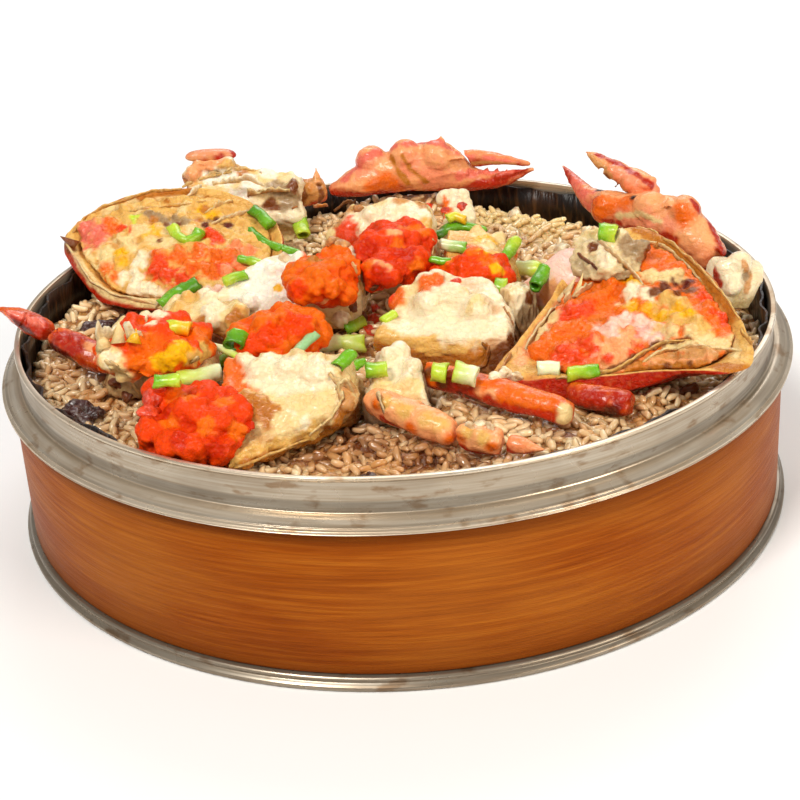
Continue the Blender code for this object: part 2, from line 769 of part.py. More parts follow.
def add_onions(green, others):
    """Chopped spring onion, dropped on whatever lies under each place.

    Each row is (x, y, length, radius, heading, tilt, bend, flatness)."""
    rows = [
        (-0.0721, 0.0490, 0.0120, 0.0030, 20, 0, 0.6, 0.7),
        (-0.0440, 0.0450, 0.0270, 0.0023, -35, -6, 0.25, 0.8),
        (-0.0480, 0.0335, 0.0120, 0.0028, -5, 0, 0.3, 0.7),
        (-0.0710, 0.0010, 0.0170, 0.0037, 40, 0, 0.2, 0.8),
        (-0.0508, -0.0480, 0.0080, 0.0038, 80, -15, 0.0, 1.0),
        (-0.0640, -0.0720, 0.0260, 0.0035, 3, 0, 0.05, 0.9),
        (-0.0265, -0.0430, 0.0170, 0.0038, 2, 0, 0.0, 0.9),
        (-0.0040, -0.0640, 0.0110, 0.0037, -20, 0, 0.2, 0.8),
        (0.0124, -0.0730, 0.0110, 0.0044, 40, 10, 0.1, 0.8),
        (0.0260, 0.0330, 0.0180, 0.0032, 5, 0, 0.35, 0.7),
        (0.0410, 0.0220, 0.0120, 0.0027, 60, 0, 0.2, 0.7),
        (0.0430, -0.0110, 0.0120, 0.0039, -5, 0, 0.0, 0.95),
        (0.0690, -0.0200, 0.0085, 0.0040, 10, 0, 0.0, 0.9),
        (0.0548, -0.0700, 0.0120, 0.0031, 5, 0, 0.2, 0.6),
    ]
    made = []
    for k, (x, y, length, radius, heading, tilt, bend, flat) in enumerate(rows):
        start = 0.052
        place = placed((x, y, RICE_LEVEL), heading, tilt)
        piece = add_onion(f"onion_{k + 1:02d}", green, place, length, radius, bend, flat)
        drop(piece, others + made, start)
        made.append(piece)
    return made


# The rice, fitted under everything that lies on it


def tree_of_all(objects):
    """One search tree over the meshes of many objects."""
    corners, faces = [], []
    for obj in objects:
        first = len(corners)
        corners += [v.co.copy() for v in obj.data.vertices]
        faces += [tuple(first + i for i in p.vertices) for p in obj.data.polygons]
    return BVHTree.FromPolygons(corners, faces)


def underside(tree, x, y, reach):
    """Height of the lowest thing over a place, felt at the place and in a ring round it."""
    lowest = math.inf
    for k in range(9 if reach else 1):
        angle = math.tau * k / 8
        off = reach if k < 8 else 0.0
        start = Vector((x + off * math.cos(angle), y + off * math.sin(angle), RICE_FLOOR_Z))
        hit = tree.ray_cast(start, Vector((0, 0, 1)))[0]
        if hit:
            lowest = min(lowest, hit.z)
    return lowest


def rice_points(tree, seed):
    """Places over the dish, a grain apart where the rice shows and further apart elsewhere.

    The first ones run round the edge."""
    rnd = random.Random(seed)
    points, cells = [], {}

    def crowded(spot, room):
        column, row = int(spot.x // SPARSE_SPACING), int(spot.y // SPARSE_SPACING)
        return any(
            (spot - other).length < room
            for i in range(column - 1, column + 2)
            for j in range(row - 1, row + 2)
            for other in cells.get((i, j), ())
        )

    def keep(spot):
        points.append(spot)
        cell = int(spot.x // SPARSE_SPACING), int(spot.y // SPARSE_SPACING)
        cells.setdefault(cell, []).append(spot)

    for k in range(TURN_STEPS):
        angle = math.tau * k / TURN_STEPS
        keep(Vector((math.cos(angle), math.sin(angle))) * RICE_RADIUS)
    for _ in range(RICE_TRIES):
        radius = (RICE_RADIUS - 0.0022) * math.sqrt(rnd.random())
        angle = math.tau * rnd.random()
        spot = Vector((radius * math.cos(angle), radius * math.sin(angle)))
        if crowded(spot, GRAIN_SPACING):
            continue
        hidden = underside(tree, spot.x, spot.y, 0.0) < RICE_LEVEL + COVER_HEIGHT
        if not hidden or not crowded(spot, SPARSE_SPACING):
            keep(spot)
    return points


def press_down(points, heights, faces, tree, passes=8, fineness=9):
    """Lowers the corners of any face that would run into what lies on the rice."""
    shares = [(i / fineness, j / fineness) for i in range(fineness + 1)
              for j in range(fineness + 1 - i)]
    for _ in range(passes):
        sinks = [0.0] * len(heights)
        for a, b, c in faces:
            for s, t in shares:
                u = 1.0 - s - t
                spot = points[a] * s + points[b] * t + points[c] * u
                height = heights[a] * s + heights[b] * t + heights[c] * u
                over = height - (underside(tree, spot.x, spot.y, 0.0) - 2 * GAP)
                if over > 0:
                    for i in (a, b, c):
                        sinks[i] = max(sinks[i], over)
        if not any(sinks):
            break
        for i, sink in enumerate(sinks):
            heights[i] -= sink


def add_rice(material, others, seed=5):
    """Rice out to the lining, with bumps of a grain's size."""
    tree = tree_of_all(others)
    points = rice_points(tree, seed)
    rnd = random.Random(seed)
    heights = []
    for k, spot in enumerate(points):
        share = min(1.0, spot.length / RICE_RADIUS)
        height = RICE_LEVEL + RICE_CROWN * (1 - share * share)
        height += 0.0015 * noise.noise(Vector((spot.x, spot.y, 0.0)) / 0.02)
        if k >= TURN_STEPS:
            height += rnd.choice((-GRAIN_BUMP, GRAIN_BUMP)) * rnd.uniform(0.5, 1.0)
        room = underside(tree, spot.x, spot.y, GRAIN_SPACING) - 3 * GAP
        heaped = underside(tree, spot.x, spot.y, 0.0) < height + RICE_HEAP
        heights.append(room if heaped else min(height, room))
    rim = list(range(TURN_STEPS))
    _, _, faces, _, _, _ = geometry.delaunay_2d_cdt(points, [], [rim], 1, 1e-6)
    press_down(points, heights, faces, tree)
    shape = bmesh.new()
    top = [shape.verts.new((p.x, p.y, z)) for p, z in zip(points, heights)]
    for face in faces:
        shape.faces.new([top[i] for i in face])
    low = [shape.verts.new((points[k].x, points[k].y, RICE_FLOOR_Z)) for k in rim]
    for k in rim:
        n = (k + 1) % TURN_STEPS
        shape.faces.new((top[n], top[k], low[k], low[n]))
    shape.faces.new(low)
    return object_from("rice", shape, material)


def main():
    steel = finish("steel", STEEL, 0.32, 1.0)
    wood = finish("wood", WOOD, 0.42)
    add_top_ring(steel)
    add_band(wood)
    add_foot_ring(steel)
    add_base(wood)
    add_leaf_lining(finish("leaf", LEAF, 0.35))

    red = finish("red_shell", RED_SHELL, 0.35)
    pale = finish("pale_shell", PALE_SHELL, 0.45)
    flesh = finish("flesh", FLESH, 0.4)
    roe = finish("roe", ROE, 0.35)
    gill = finish("gill", GILL, 0.5)

    left, right = left_bowl(), right_bowl()
    shells = [add_bowl("shell_left", red, left), add_bowl("shell_right", red, right)]
    fillings = [
        add_filling("filling_left", roe, left, 0.0020, seed=3),
        add_filling("filling_right", roe, right, 0.0025, seed=8),
    ]
    food = []
    groups = [
        shells,
        fillings,
        add_back_claw(red),
        add_right_claw(red),
        add_chunks(flesh),
        add_roe(roe),
        add_loose_pieces(flesh, gill, red, pale),
        add_legs(red),
        add_mushrooms(finish("mushroom", MUSHROOM, 0.4)),
    ]
    for piece in [piece for group in groups for piece in group]:
        settle(piece, food)
        food.append(piece)
    onions = add_onions(finish("onion", ONION, 0.35), food)
    add_rice(finish("rice", RICE, 0.4), food + onions)


clear_scene()
DISH = new_collection("crab_sticky_rice")
CUTTERS = new_collection("cutters")
main()
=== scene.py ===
"""Looks of the steamed crab on sticky rice in its round steamer basket.

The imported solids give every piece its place. Most pieces start from a copy of their solid, which
is refined, given relief and painted; rice grains, spring onion, membranes and teeth are added.
Metres, +Z up, the basket's foot on Z = 0. Front is -Y.
"""

import logging
import math
import random
from dataclasses import dataclass, field
from enum import Enum

import bmesh
import bpy
import numpy as np
from mathutils import Matrix, Vector, noise
from mathutils.bvhtree import BVHTree


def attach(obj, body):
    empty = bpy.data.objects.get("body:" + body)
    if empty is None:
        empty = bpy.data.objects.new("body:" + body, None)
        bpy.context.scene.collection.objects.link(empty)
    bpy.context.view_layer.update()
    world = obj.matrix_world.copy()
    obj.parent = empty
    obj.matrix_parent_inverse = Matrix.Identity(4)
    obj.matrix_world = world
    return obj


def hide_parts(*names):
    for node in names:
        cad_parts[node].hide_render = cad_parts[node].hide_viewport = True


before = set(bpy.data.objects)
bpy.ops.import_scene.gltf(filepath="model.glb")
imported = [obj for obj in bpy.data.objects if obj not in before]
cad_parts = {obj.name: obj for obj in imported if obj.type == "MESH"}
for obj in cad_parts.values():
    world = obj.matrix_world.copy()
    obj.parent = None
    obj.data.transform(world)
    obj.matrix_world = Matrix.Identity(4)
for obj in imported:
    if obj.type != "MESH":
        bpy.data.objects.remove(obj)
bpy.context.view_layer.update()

LOG = logging.getLogger("crab_rice")
MM = 0.001
MERGE = 0.00002
TINT = "tint"
SLOPE = math.radians(20)
STREAK_STEP = 2.2
TUBE_SIDES = 14
WANDER_SIZE = 4.0 * MM
FRAY_SIZE = 1.6 * MM
HOLLOW_RANGE = (-1.2, 0.4)
HOLLOW_SHADE = 0.45
UNDER_START = 0.35
UNDER_BLUR = 0.3
LOBE_REACH = 0.62
HOLDERS = {"rice", "leaf_lining", "top_ring", "wood_band", "foot_ring", "base_disc"}
Pixel = tuple[float, float]


# Colours


def linear(text: str) -> tuple[float, float, float]:
    """Turns a colour as a maker writes it into shader values.

    Args:
        text: Six hexadecimal digits, red, green and blue.

    Returns:
        The three linear values.
    """
    parts = [int(text[i:i + 2], 16) / 255 for i in (0, 2, 4)]
    return tuple(c / 12.92 if c < 0.04045 else ((c + 0.055) / 1.055) ** 2.4 for c in parts)


class Tint(Enum):
    """The colours that the food is painted with."""

    SNOW = "fff6e2"
    WHITE = "f8e6bf"
    CREAM = "f0d292"
    STRAW = "e6b45e"
    GOLD = "bf7420"
    BROWN = "7c4014"
    DARK = "2c1006"
    YELLOW = "f4b60c"
    ORANGE = "f06c0e"
    ROE = "ea4204"
    BLOOD = "cc2a02"
    PINK = "f8966e"
    BLUSH = "ffcdb8"
    ROSE = "e8705a"
    CORAL = "f28c56"
    PEACH = "f9ab70"
    RED = "b42204"
    MAROON = "5e1206"
    TAN = "cf9354"
    GREY = "a88a62"
    PALE = "ead09c"
    GRAIN = "cf9a60"
    RICE = "fbe0b2"
    SAUCE_AND_SHADE = "b8844a"
    LEAF_GREEN = "72b412"
    DEEP_GREEN = "4c8c0e"
    LIME = "c2dc38"
    MILK = "eef2c2"
    MIST = "9cca90"
    PLUM = "4a2a26"

    @classmethod
    def named(cls, name: str) -> "Tint":
        """The tint that a table names."""
        return cls[name.upper()]

    def rgb(self) -> np.ndarray:
        """The linear colour."""
        return np.array(linear(self.value), np.float32)


# Shader maths


class Socket:
    """A value in a shader, which can be used in sums as a number can."""

    def __init__(self, ink: "Ink", link: bpy.types.NodeSocket) -> None:
        """Keeps the link and the writer that made it."""
        self.ink = ink
        self.link = link

    def _maths(self, operation: str, first: object, second: object) -> "Socket":
        """Adds a Math node.

        Args:
            operation: The node's operation.
            first: A value or a number.
            second: A value or a number.

        Returns:
            The result.
        """
        return self.ink.node("Math", {"operation": operation}, {0: first, 1: second})

    def __add__(self, other: object) -> "Socket":
        """The sum."""
        return self._maths("ADD", self, other)

    __radd__ = __add__

    def __mul__(self, other: object) -> "Socket":
        """The product."""
        return self._maths("MULTIPLY", self, other)

    __rmul__ = __mul__

    def __sub__(self, other: object) -> "Socket":
        """The difference."""
        return self._maths("SUBTRACT", self, other)

    def __rsub__(self, other: object) -> "Socket":
        """The difference, the other way round."""
        return self._maths("SUBTRACT", other, self)


class Ink:
    """Writes the nodes of one material."""

    def __init__(self, name: str) -> None:
        """Makes an empty material that ends in a Principled shader."""
        self.material = bpy.data.materials.new(name)
        self.material.use_nodes = True
        self.tree = self.material.node_tree
        self.shader = self.tree.nodes["Principled BSDF"]
        self.place = self.node("TexCoord", {}, {}, "Object")

    def node(self, kind: str, settings: dict, values: dict, out: object = 0) -> Socket:
        """Adds a node.

        Args:
            kind: The node's type, without its ShaderNode prefix.
            settings: What is set on the node itself, and a ramp's stops.
            values: Links, numbers or colours for its inputs.
            out: The name or place of the output that is wanted.

        Returns:
            That output.
        """
        made = self.tree.nodes.new("ShaderNode" + kind)
        for key, value in settings.items():
            if key == "stops":
                self._stops(made.color_ramp, value)
            else:
                setattr(made, key, value)
        for key, value in values.items():
            self.feed(made.inputs[key], value)
        return Socket(self, made.outputs[out])

    @staticmethod
    def _stops(ramp: bpy.types.ColorRamp, stops: list) -> None:
        """Sets a ramp's stops.

        Args:
            ramp: The ramp.
            stops: Pairs of a place and a colour or grey.
        """
        while len(ramp.elements) < len(stops):
            ramp.elements.new(1.0)
        for element, (place, colour) in zip(ramp.elements, stops):
            element.position = place
            grey = isinstance(colour, (int, float))
            element.color = (*([colour] * 3 if grey else colour), 1.0)

    def feed(self, target: bpy.types.NodeSocket, value: object) -> None:
        """Links a value to an input, or sets it there.

        Args:
            target: The input.
            value: A Socket, a number, a vector or a colour of three or four values.
        """
        if isinstance(value, Socket):
            self.tree.links.new(value.link, target)
        elif isinstance(value, (tuple, list, np.ndarray)) and target.type == "RGBA":
            target.default_value = (*value[:3], 1.0)
        else:
            target.default_value = value

    def blend(self, amount: object, low: object, high: object, how: str = "MIX") -> Socket:
        """Mixes two colours.

        Args:
            amount: The share of the second colour.
            low: The first colour.
            high: The second colour.
            how: The blend type.

        Returns:
            The mixed colour.
        """
        settings = {"data_type": "RGBA", "blend_type": how, "clamp_factor": True}
        return self.node("Mix", settings, {0: amount, 6: low, 7: high}, 2)

    def cloud(self, scale: float, detail: float = 3.0, stretch: tuple = (1, 1, 1)) -> Socket:
        """Soft noise over the piece.

        Args:
            scale: Size of its features, in metres.
            detail: How much finer noise it holds.
            stretch: How much finer it is along each axis.

        Returns:
            Noise from 0 to 1.
        """
        scaled = tuple(s / scale for s in stretch)
        where = self.node("Mapping", {}, {"Vector": self.place, "Scale": scaled})
        return self.node("TexNoise", {}, {"Vector": where, "Scale": 1.0, "Detail": detail})

    def ramp(self, value: Socket, *stops: tuple) -> Socket:
        """Colours or greys along a value."""
        return self.node("ValToRGB", {"stops": list(stops)}, {0: value})

    def bump(self, height: Socket, depth: float, strength: float = 1.0) -> None:
        """Feeds relief of a depth in metres to the shader's normal."""
        values = {"Height": height, "Distance": depth, "Strength": strength}
        self.feed(self.shader.inputs["Normal"], self.node("Bump", {}, values))

    def close(self, **inputs: object) -> bpy.types.Material:
        """Feeds the shader.

        Args:
            inputs: Values by the names of its inputs, with _ for a space.

        Returns:
            The material.
        """
        for key, value in inputs.items():
            self.feed(self.shader.inputs[key.replace("_", " ")], value)
        return self.material


# Finishes


@dataclass(frozen=True)
class Food:
    """Moist food, painted in its piece's own tints, mottled a little and dotted with painted
    highlight specks.
    """

    name: str
    rough: float = 0.36
    wet: float = 0.5
    glow: float = 0.25
    reach: float = 0.002
    mottle: float = 0.25
    speck: float = 0.0016
    depth: float = 0.00025
    vein: float = 0.12
    inner: tuple[float, float, float] = (1.0, 0.55, 0.30)
    # The colour of the painted highlight specks.
    glint_colour: tuple[float, float, float] = (1.0, 0.95, 0.82)
    shine: float = 0.45

    def material(self) -> bpy.types.Material:
        """Builds the material."""
        ink = Ink(self.name)
        tint = ink.node("Attribute", {"attribute_name": TINT}, {}, "Color")
        broad = ink.cloud(self.speck * 3.2)
        fine = ink.cloud(self.speck, 5.0)
        thread = ink.cloud(self.speck * 2.1, 4.0, (1.0, 1.0, 1.7))
        dark = ink.blend(1.0, tint, (0.70, 0.46, 0.24), "MULTIPLY")
        # Painted highlight specks, blended towards the glint colour.
        painted_light = ink.blend(0.16, tint, self.glint_colour)
        mottled = ink.blend(ink.ramp(broad, (0.30, 1.0), (0.50, 0.0)) * self.mottle, tint, dark)
        lines = ink.ramp(thread, (0.455, 0.0), (0.495, 1.0), (0.505, 1.0), (0.545, 0.0))
        veined = ink.blend(lines * self.vein, mottled, dark)
        glint_specks = ink.ramp(fine, (0.50, 0.0), (0.68, 1.0)) * self.mottle * 1.4
        colour = ink.blend(glint_specks, veined, painted_light)
        ink.bump(fine + broad * 0.6 + lines * -0.25, self.depth)
        rough = fine * 0.25 + (self.rough - 0.17)
        coat = ink.ramp(broad, (0.40, 0.1), (0.65, 1.0)) * (self.wet * 0.6)
        return ink.close(
            Base_Color=colour, Roughness=rough, Coat_Weight=coat, Coat_Roughness=0.12,
            Specular_IOR_Level=self.shine,
            Subsurface_Weight=self.glow, Subsurface_Scale=self.reach,
            Subsurface_Radius=self.inner,
        )


@dataclass(frozen=True)
class Steel:
    """Rolled steel with stains and light and dark patches, partly wear and partly painted
    reflection, with painted shade in the groove under its collar and painted highlights on its
    ridge and bead.
    """

    name: str = "worn_steel"
    top: float = 0.0660
    # Brightness by height: painted shade in the grooves and low down, painted highlights on the
    # ridge and the bead.
    shade_and_highlight_bands: tuple[tuple[float, float], ...] = (
        (0.0, 0.42), (0.0300, 0.42), (0.0508, 0.95), (0.0530, 1.0), (0.0532, 0.50),
        (0.0535, 0.92), (0.0549, 0.95), (0.0553, 0.40), (0.0580, 0.34), (0.0588, 0.60),
        (0.0643, 0.64), (0.0649, 0.95),
    )

    def material(self) -> bpy.types.Material:
        """Builds the material."""
        ink = Ink(self.name)
        streak = ink.cloud(0.030, 3.0, (1, 1, 46))
        patch = ink.cloud(0.022, 4.0, (1, 1, 1.6))
        stain = ink.cloud(0.009, 5.0, (1, 1, 2.5))
        height = ink.node("SeparateXYZ", {}, {0: ink.place}, "Z")
        shade_and_highlight_bands = [(z / self.top, level) for z, level in self.shade_and_highlight_bands]
        band = ink.ramp(height * (1 / self.top), *shade_and_highlight_bands)
        # Rolled streaks, and light and dark patches that are partly wear and partly painted
        # reflection.
        base = ink.ramp(streak, (0.28, linear("c4ad8f")), (0.75, linear("ecdfca")))
        worn_and_reflected = ink.blend(ink.ramp(patch, (0.42, 0.0), (0.75, 0.40)), base, linear("9c8872"))
        marked = ink.blend(ink.ramp(stain, (0.58, 0.0), (0.68, 0.62)), worn_and_reflected, linear("9a6e3c"))
        # Painted shade and highlights, banded by height.
        shaded_and_highlighted = ink.blend(1.0, marked, band, "MULTIPLY")
        ink.bump(streak, 0.00005, 0.5)
        rough = ink.ramp(patch, (0.30, 0.22), (0.75, 0.42))
        return ink.close(Base_Color=shaded_and_highlighted, Metallic=0.68, Roughness=rough)


@dataclass(frozen=True)
class BentWood:
    """Oiled bent wood, its grain running round the band."""

    name: str = "bent_wood"
    low: float = 0.0045
    high: float = 0.0502

    def material(self) -> bpy.types.Material:
        """Builds the material."""
        ink = Ink(self.name)
        height = ink.node("SeparateXYZ", {}, {0: ink.place}, "Z")
        share = (height - self.low) * (1 / (self.high - self.low))
        grain = ink.cloud(0.034, 6.0, (1, 1, 30))
        hair = ink.cloud(0.016, 4.0, (1, 1, 62))
        broad = ink.cloud(0.055, 2.0, (1, 1, 2.2))
        base = ink.ramp(grain, (0.28, linear("803906")), (0.50, linear("93470a")),
                        (0.74, linear("a85c14")))
        lines = ink.blend(ink.ramp(hair, (0.50, 0.0), (0.72, 0.42)), base, linear("662c04"))
        warm = ink.blend(ink.ramp(broad, (0.42, 0.0), (0.68, 0.30)), lines, linear("b57028"))
        shade = ink.ramp(share, (0.0, 0.72), (0.07, 0.32), (0.30, 0.0), (0.86, 0.0), (0.97, 0.55),
                         (1.0, 0.85))
        edged = ink.blend(shade, warm, linear("662c06"))
        ink.bump(grain * 0.6 + hair, 0.00018)
        rough = ink.ramp(hair, (0.35, 0.34), (0.75, 0.52))
        return ink.close(Base_Color=edged, Roughness=rough, Specular_IOR_Level=0.05)


@dataclass(frozen=True)
class WetLeaf:
    """A dark wet leaf with fine veins."""

    name: str = "wet_leaf"

    def material(self) -> bpy.types.Material:
        """Builds the material."""
        ink = Ink(self.name)
        vein = ink.cloud(0.004, 3.0, (2.4, 2.4, 0.35))
        patch = ink.cloud(0.017, 4.0)
        base = ink.ramp(patch, (0.32, linear("0c0502")), (0.55, linear("1c0e06")),
                        (0.74, linear("38200e")))
        colour = ink.blend(ink.ramp(vein, (0.5, 0.0), (0.7, 0.4)), base, linear("6a4520"))
        ink.bump(vein + patch, 0.0006)
        return ink.close(Base_Color=colour, Roughness=0.36, Specular_IOR_Level=0.30)


@dataclass(frozen=True)
class PlainFloor:
    """The pale floor that the dish is shown on."""

    name: str = "pale_floor"

    def material(self) -> bpy.types.Material:
        """Builds the material."""
        ink = Ink(self.name)
        return ink.close(Base_Color=(0.93, 0.93, 0.93), Roughness=0.9)


# The camera that the photograph was taken with


@dataclass(frozen=True)
class PhotoCamera:
    """Where the photograph was taken from, found from the basket's round edges."""

    place: Vector = Vector((0.0, -0.5170, 0.2805))
    tilt_deg: float = 63.955
    roll_deg: float = -3.595
    turn_deg: float = -0.015
    lens_mm: float = 75.805
    sensor_mm: float = 36.0
    photo_px: float = 800.0

    def turn(self) -> Matrix:
        """The camera's turn."""
        return (Matrix.Rotation(math.radians(self.turn_deg), 4, "Z")
                @ Matrix.Rotation(math.radians(self.tilt_deg), 4, "X")
                @ Matrix.Rotation(math.radians(self.roll_deg), 4, "Z"))

    def ray(self, pixel: Pixel) -> Vector:
        """The direction in which the camera sees a pixel of the photograph.

        Args:
            pixel: The pixel, right and down from the photograph's top left corner.

        Returns:
            A unit vector.
        """
        size = self.sensor_mm / self.photo_px / self.lens_mm
        half = self.photo_px / 2
        seen = Vector(((pixel[0] - half) * size, (half - pixel[1]) * size, -1.0))
        return (self.turn().to_3x3() @ seen).normalized()

    def spot(self, tree: BVHTree, pixel: Pixel, near: Vector | None = None) -> Vector:
        """The place on a piece that a pixel shows.

        Args:
            tree: The piece's search tree.
            pixel: The pixel.
            near: A place to search from where the ray misses the piece.

        Returns:
            The place.
        """
        ray = self.ray(pixel)
        hit = tree.ray_cast(self.place, ray)[0]
        if hit is None:
            about = near if near is not None else Vector((0.0, 0.0, 0.07))
            along = (about - self.place).dot(ray)
            hit = tree.find_nearest(self.place + ray * along)[0]
        return hit

    def add(self) -> None:
        """Makes the scene's camera."""
        data = bpy.data.cameras.new("photo_camera")
        data.lens = self.lens_mm
        data.sensor_width = self.sensor_mm
        data.clip_start = 0.01
        camera = bpy.data.objects.new("photo_camera", data)
        camera.matrix_world = Matrix.Translation(self.place) @ self.turn()
        bpy.context.scene.collection.objects.link(camera)
        bpy.context.scene.camera = camera


CAMERA = PhotoCamera()


# Shaping and painting


class Relief(Enum):
    """The kinds of relief that the food has."""

    SOFT = "soft"
    LOBES = "lobes"
    RIDGES = "ridges"


@dataclass(frozen=True)
class Dab:
    """A patch of colour, where the photograph shows it."""

    tint: Tint
    px: float
    py: float
    size: float
    lump: float = 0.0


def rows_of(table: str) -> list[tuple[list[str], tuple[Pixel, ...]]]:
    """Reads the rows of a table, each some words, a colon and pixels such as 12,34 56,78.

    Args:
        table: The rows.

    Returns:
        For each row, its words and its pixels.
    """
    found = []
    for row in table.strip().splitlines():
        words, spots = row.split(":")
        pairs = [pair.split(",") for pair in spots.split()]
        found.append((words.split(), tuple((float(x), float(y)) for x, y in pairs)))
    return found


def spaced(line: tuple[Pixel, ...], step: float) -> list[Pixel]:
    """Pixels at even steps along a line.

    Args:
        line: The pixels that the line runs through.
        step: About how far apart they are to be.

    Returns:
        The pixels.
    """
    found = []
    for start, end in zip(line, line[1:]):
        count = max(1, round(math.dist(start, end) / step))
        found += [(start[0] + (end[0] - start[0]) * k / count,
                   start[1] + (end[1] - start[1]) * k / count) for k in range(count)]
    return [*found, line[-1]]


def patches(table: str) -> list[Dab]:
    """Reads patches of colour, the later ones to lie over the earlier ones.

    Each row says the tint, the radius in millimetres, the radius of the lumps that stand under the
    patches if there are any, and the pixels, like this: rose 5 lump 4: 88,230 95,238. A row that
    starts with streak has patches all along the line through its pixels.

    Args:
        table: The rows.

    Returns:
        The patches.
    """
    found = []
    for words, spots in rows_of(table):
        if words[0] == "streak":
            words.pop(0)
            spots = spaced(spots, float(words[1]) * STREAK_STEP)
        lump = float(words[3]) if "lump" in words else 0.0
        tint, size = Tint.named(words[0]), float(words[1])
        found += [Dab(tint, x, y, size * MM, lump * MM) for x, y in spots]
    return found


class Form:
    """A piece in the making."""

    def __init__(self, name: str, mesh: bpy.types.Mesh) -> None:
        """Keeps the piece's name and mesh."""
        self.name = name
        self.mesh = mesh
        self.raised = 0.0

    @classmethod
    def of_nodes(cls, name: str, *nodes: str) -> "Form":
        """Starts from a merged copy of the solids of some nodes.

        Args:
            name: The piece's name.
            nodes: The nodes.

        Returns:
            The piece.
        """
        shape = bmesh.new()
        for node in nodes:
            shape.from_mesh(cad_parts[node].data)
        bmesh.ops.remove_doubles(shape, verts=shape.verts, dist=MERGE)
        return cls.of_shape(name, shape)

    @classmethod
    def of_shape(cls, name: str, shape: bmesh.types.BMesh) -> "Form":
        """Closes a bmesh off into a piece.

        Args:
            name: The piece's name.
            shape: The bmesh, which is freed.

        Returns:
            The piece.
        """
        mesh = bpy.data.meshes.new(name)
        shape.to_mesh(mesh)
        shape.free()
        return cls(name, mesh)

    def modified(self, kind: str, **settings: object) -> "Form":
        """Runs one modifier over the mesh.

        Args:
            kind: The modifier's type.
            settings: Its settings.

        Returns:
            The piece itself.
        """
        holder = bpy.data.objects.new(self.name, self.mesh)
        bpy.context.scene.collection.objects.link(holder)
        modifier = holder.modifiers.new(kind.lower(), kind)
        for key, value in settings.items():
            setattr(modifier, key, value)
        graph = bpy.context.evaluated_depsgraph_get()
        self.mesh = bpy.data.meshes.new_from_object(holder.evaluated_get(graph))
        bpy.data.objects.remove(holder)
        return self

    def voxelled(self, size: float, smooth: int = 3) -> "Form":
        """Makes the surface even.

        Args:
            size: The size of its faces, in millimetres.
            smooth: How often it is smoothed.

        Returns:
            The piece itself.
        """
        self.modified("REMESH", mode="VOXEL", voxel_size=size * MM)
        return self.modified("SMOOTH", factor=0.5, iterations=smooth)

    def fused(self, strokes: list[Dab], horns: list["Spike"], sink: float = 0.35) -> "Form":
        """Adds lumps and horns, which the next remesh makes one with the piece.

        Args:
            strokes: The patches, some of which have a lump under them.
            horns: The horns.
            sink: How deep a lump's middle lies, as a share of its radius.

        Returns:
            The piece itself.
        """
        tree = self.tree()
        middle = Vector(self.places().mean(0))
        shape = bmesh.new()
        shape.from_mesh(self.mesh)
        for stroke in strokes:
            if stroke.lump:
                spot = CAMERA.spot(tree, (stroke.px, stroke.py), middle)
                spot += CAMERA.ray((stroke.px, stroke.py)) * stroke.lump * sink
                bmesh.ops.create_icosphere(shape, subdivisions=3, radius=stroke.lump,
                                           matrix=Matrix.Translation(spot))
        for horn in horns:
            horn.add_to(shape, tree, middle)
        shape.to_mesh(self.mesh)
        shape.free()
        return self

    def softened(self, levels: int) -> "Form":
        """Subdivides the surface smoothly, its triangles joined into quads first.

        Args:
            levels: How often.

        Returns:
            The piece itself.
        """
        shape = bmesh.new()
        shape.from_mesh(self.mesh)
        bmesh.ops.join_triangles(shape, faces=shape.faces, angle_face_threshold=0.7,
                                 angle_shape_threshold=0.9)
        shape.to_mesh(self.mesh)
        shape.free()
        return self.modified("SUBSURF", levels=levels, render_levels=levels)

    def divided(self, cuts: int) -> "Form":
        """Divides every edge and the faces between, without rounding them.

        Args:
            cuts: How many cuts each edge gets.

        Returns:
            The piece itself.
        """
        shape = bmesh.new()
        shape.from_mesh(self.mesh)
        bmesh.ops.subdivide_edges(shape, edges=shape.edges, cuts=cuts, use_grid_fill=True)
        shape.to_mesh(self.mesh)
        shape.free()
        return self

    def places(self) -> np.ndarray:
        """The vertices' places, a row each."""
        values = np.empty(len(self.mesh.vertices) * 3, np.float32)
        self.mesh.vertices.foreach_get("co", values)
        return values.reshape(-1, 3)

    def normals(self) -> np.ndarray:
        """The vertices' normals, a row each."""
        values = np.empty(len(self.mesh.vertices) * 3, np.float32)
        self.mesh.vertices.foreach_get("normal", values)
        return values.reshape(-1, 3)

    def move(self, steps: np.ndarray) -> "Form":
        """Moves each vertex by its own step.

        Args:
            steps: The steps, a row each.

        Returns:
            The piece itself.
        """
        moved = (self.places() + steps).astype(np.float32)
        self.mesh.vertices.foreach_set("co", moved.ravel())
        self.mesh.update()
        return self

    def relief(self, kind: Relief, size: float, depth: float, seed: int = 0,
               stretch: tuple = (1, 1, 1), where: np.ndarray | None = None) -> "Form":
        """Raises and sinks the surface along its normals.

        Args:
            kind: The kind of relief.
            size: The size of its features, in millimetres.
            depth: Its depth, in millimetres.
            seed: What sets one piece's relief apart from another's.
            stretch: How much finer it is along each axis.
            where: How much of it each vertex takes.

        Returns:
            The piece itself.
        """
        heights = pattern(kind, self.places() * np.array(stretch, np.float32), size * MM, seed)
        if where is not None:
            heights = heights * where
        self.raised = self.raised + heights * depth
        return self.move(self.normals() * (heights * depth * MM)[:, None])

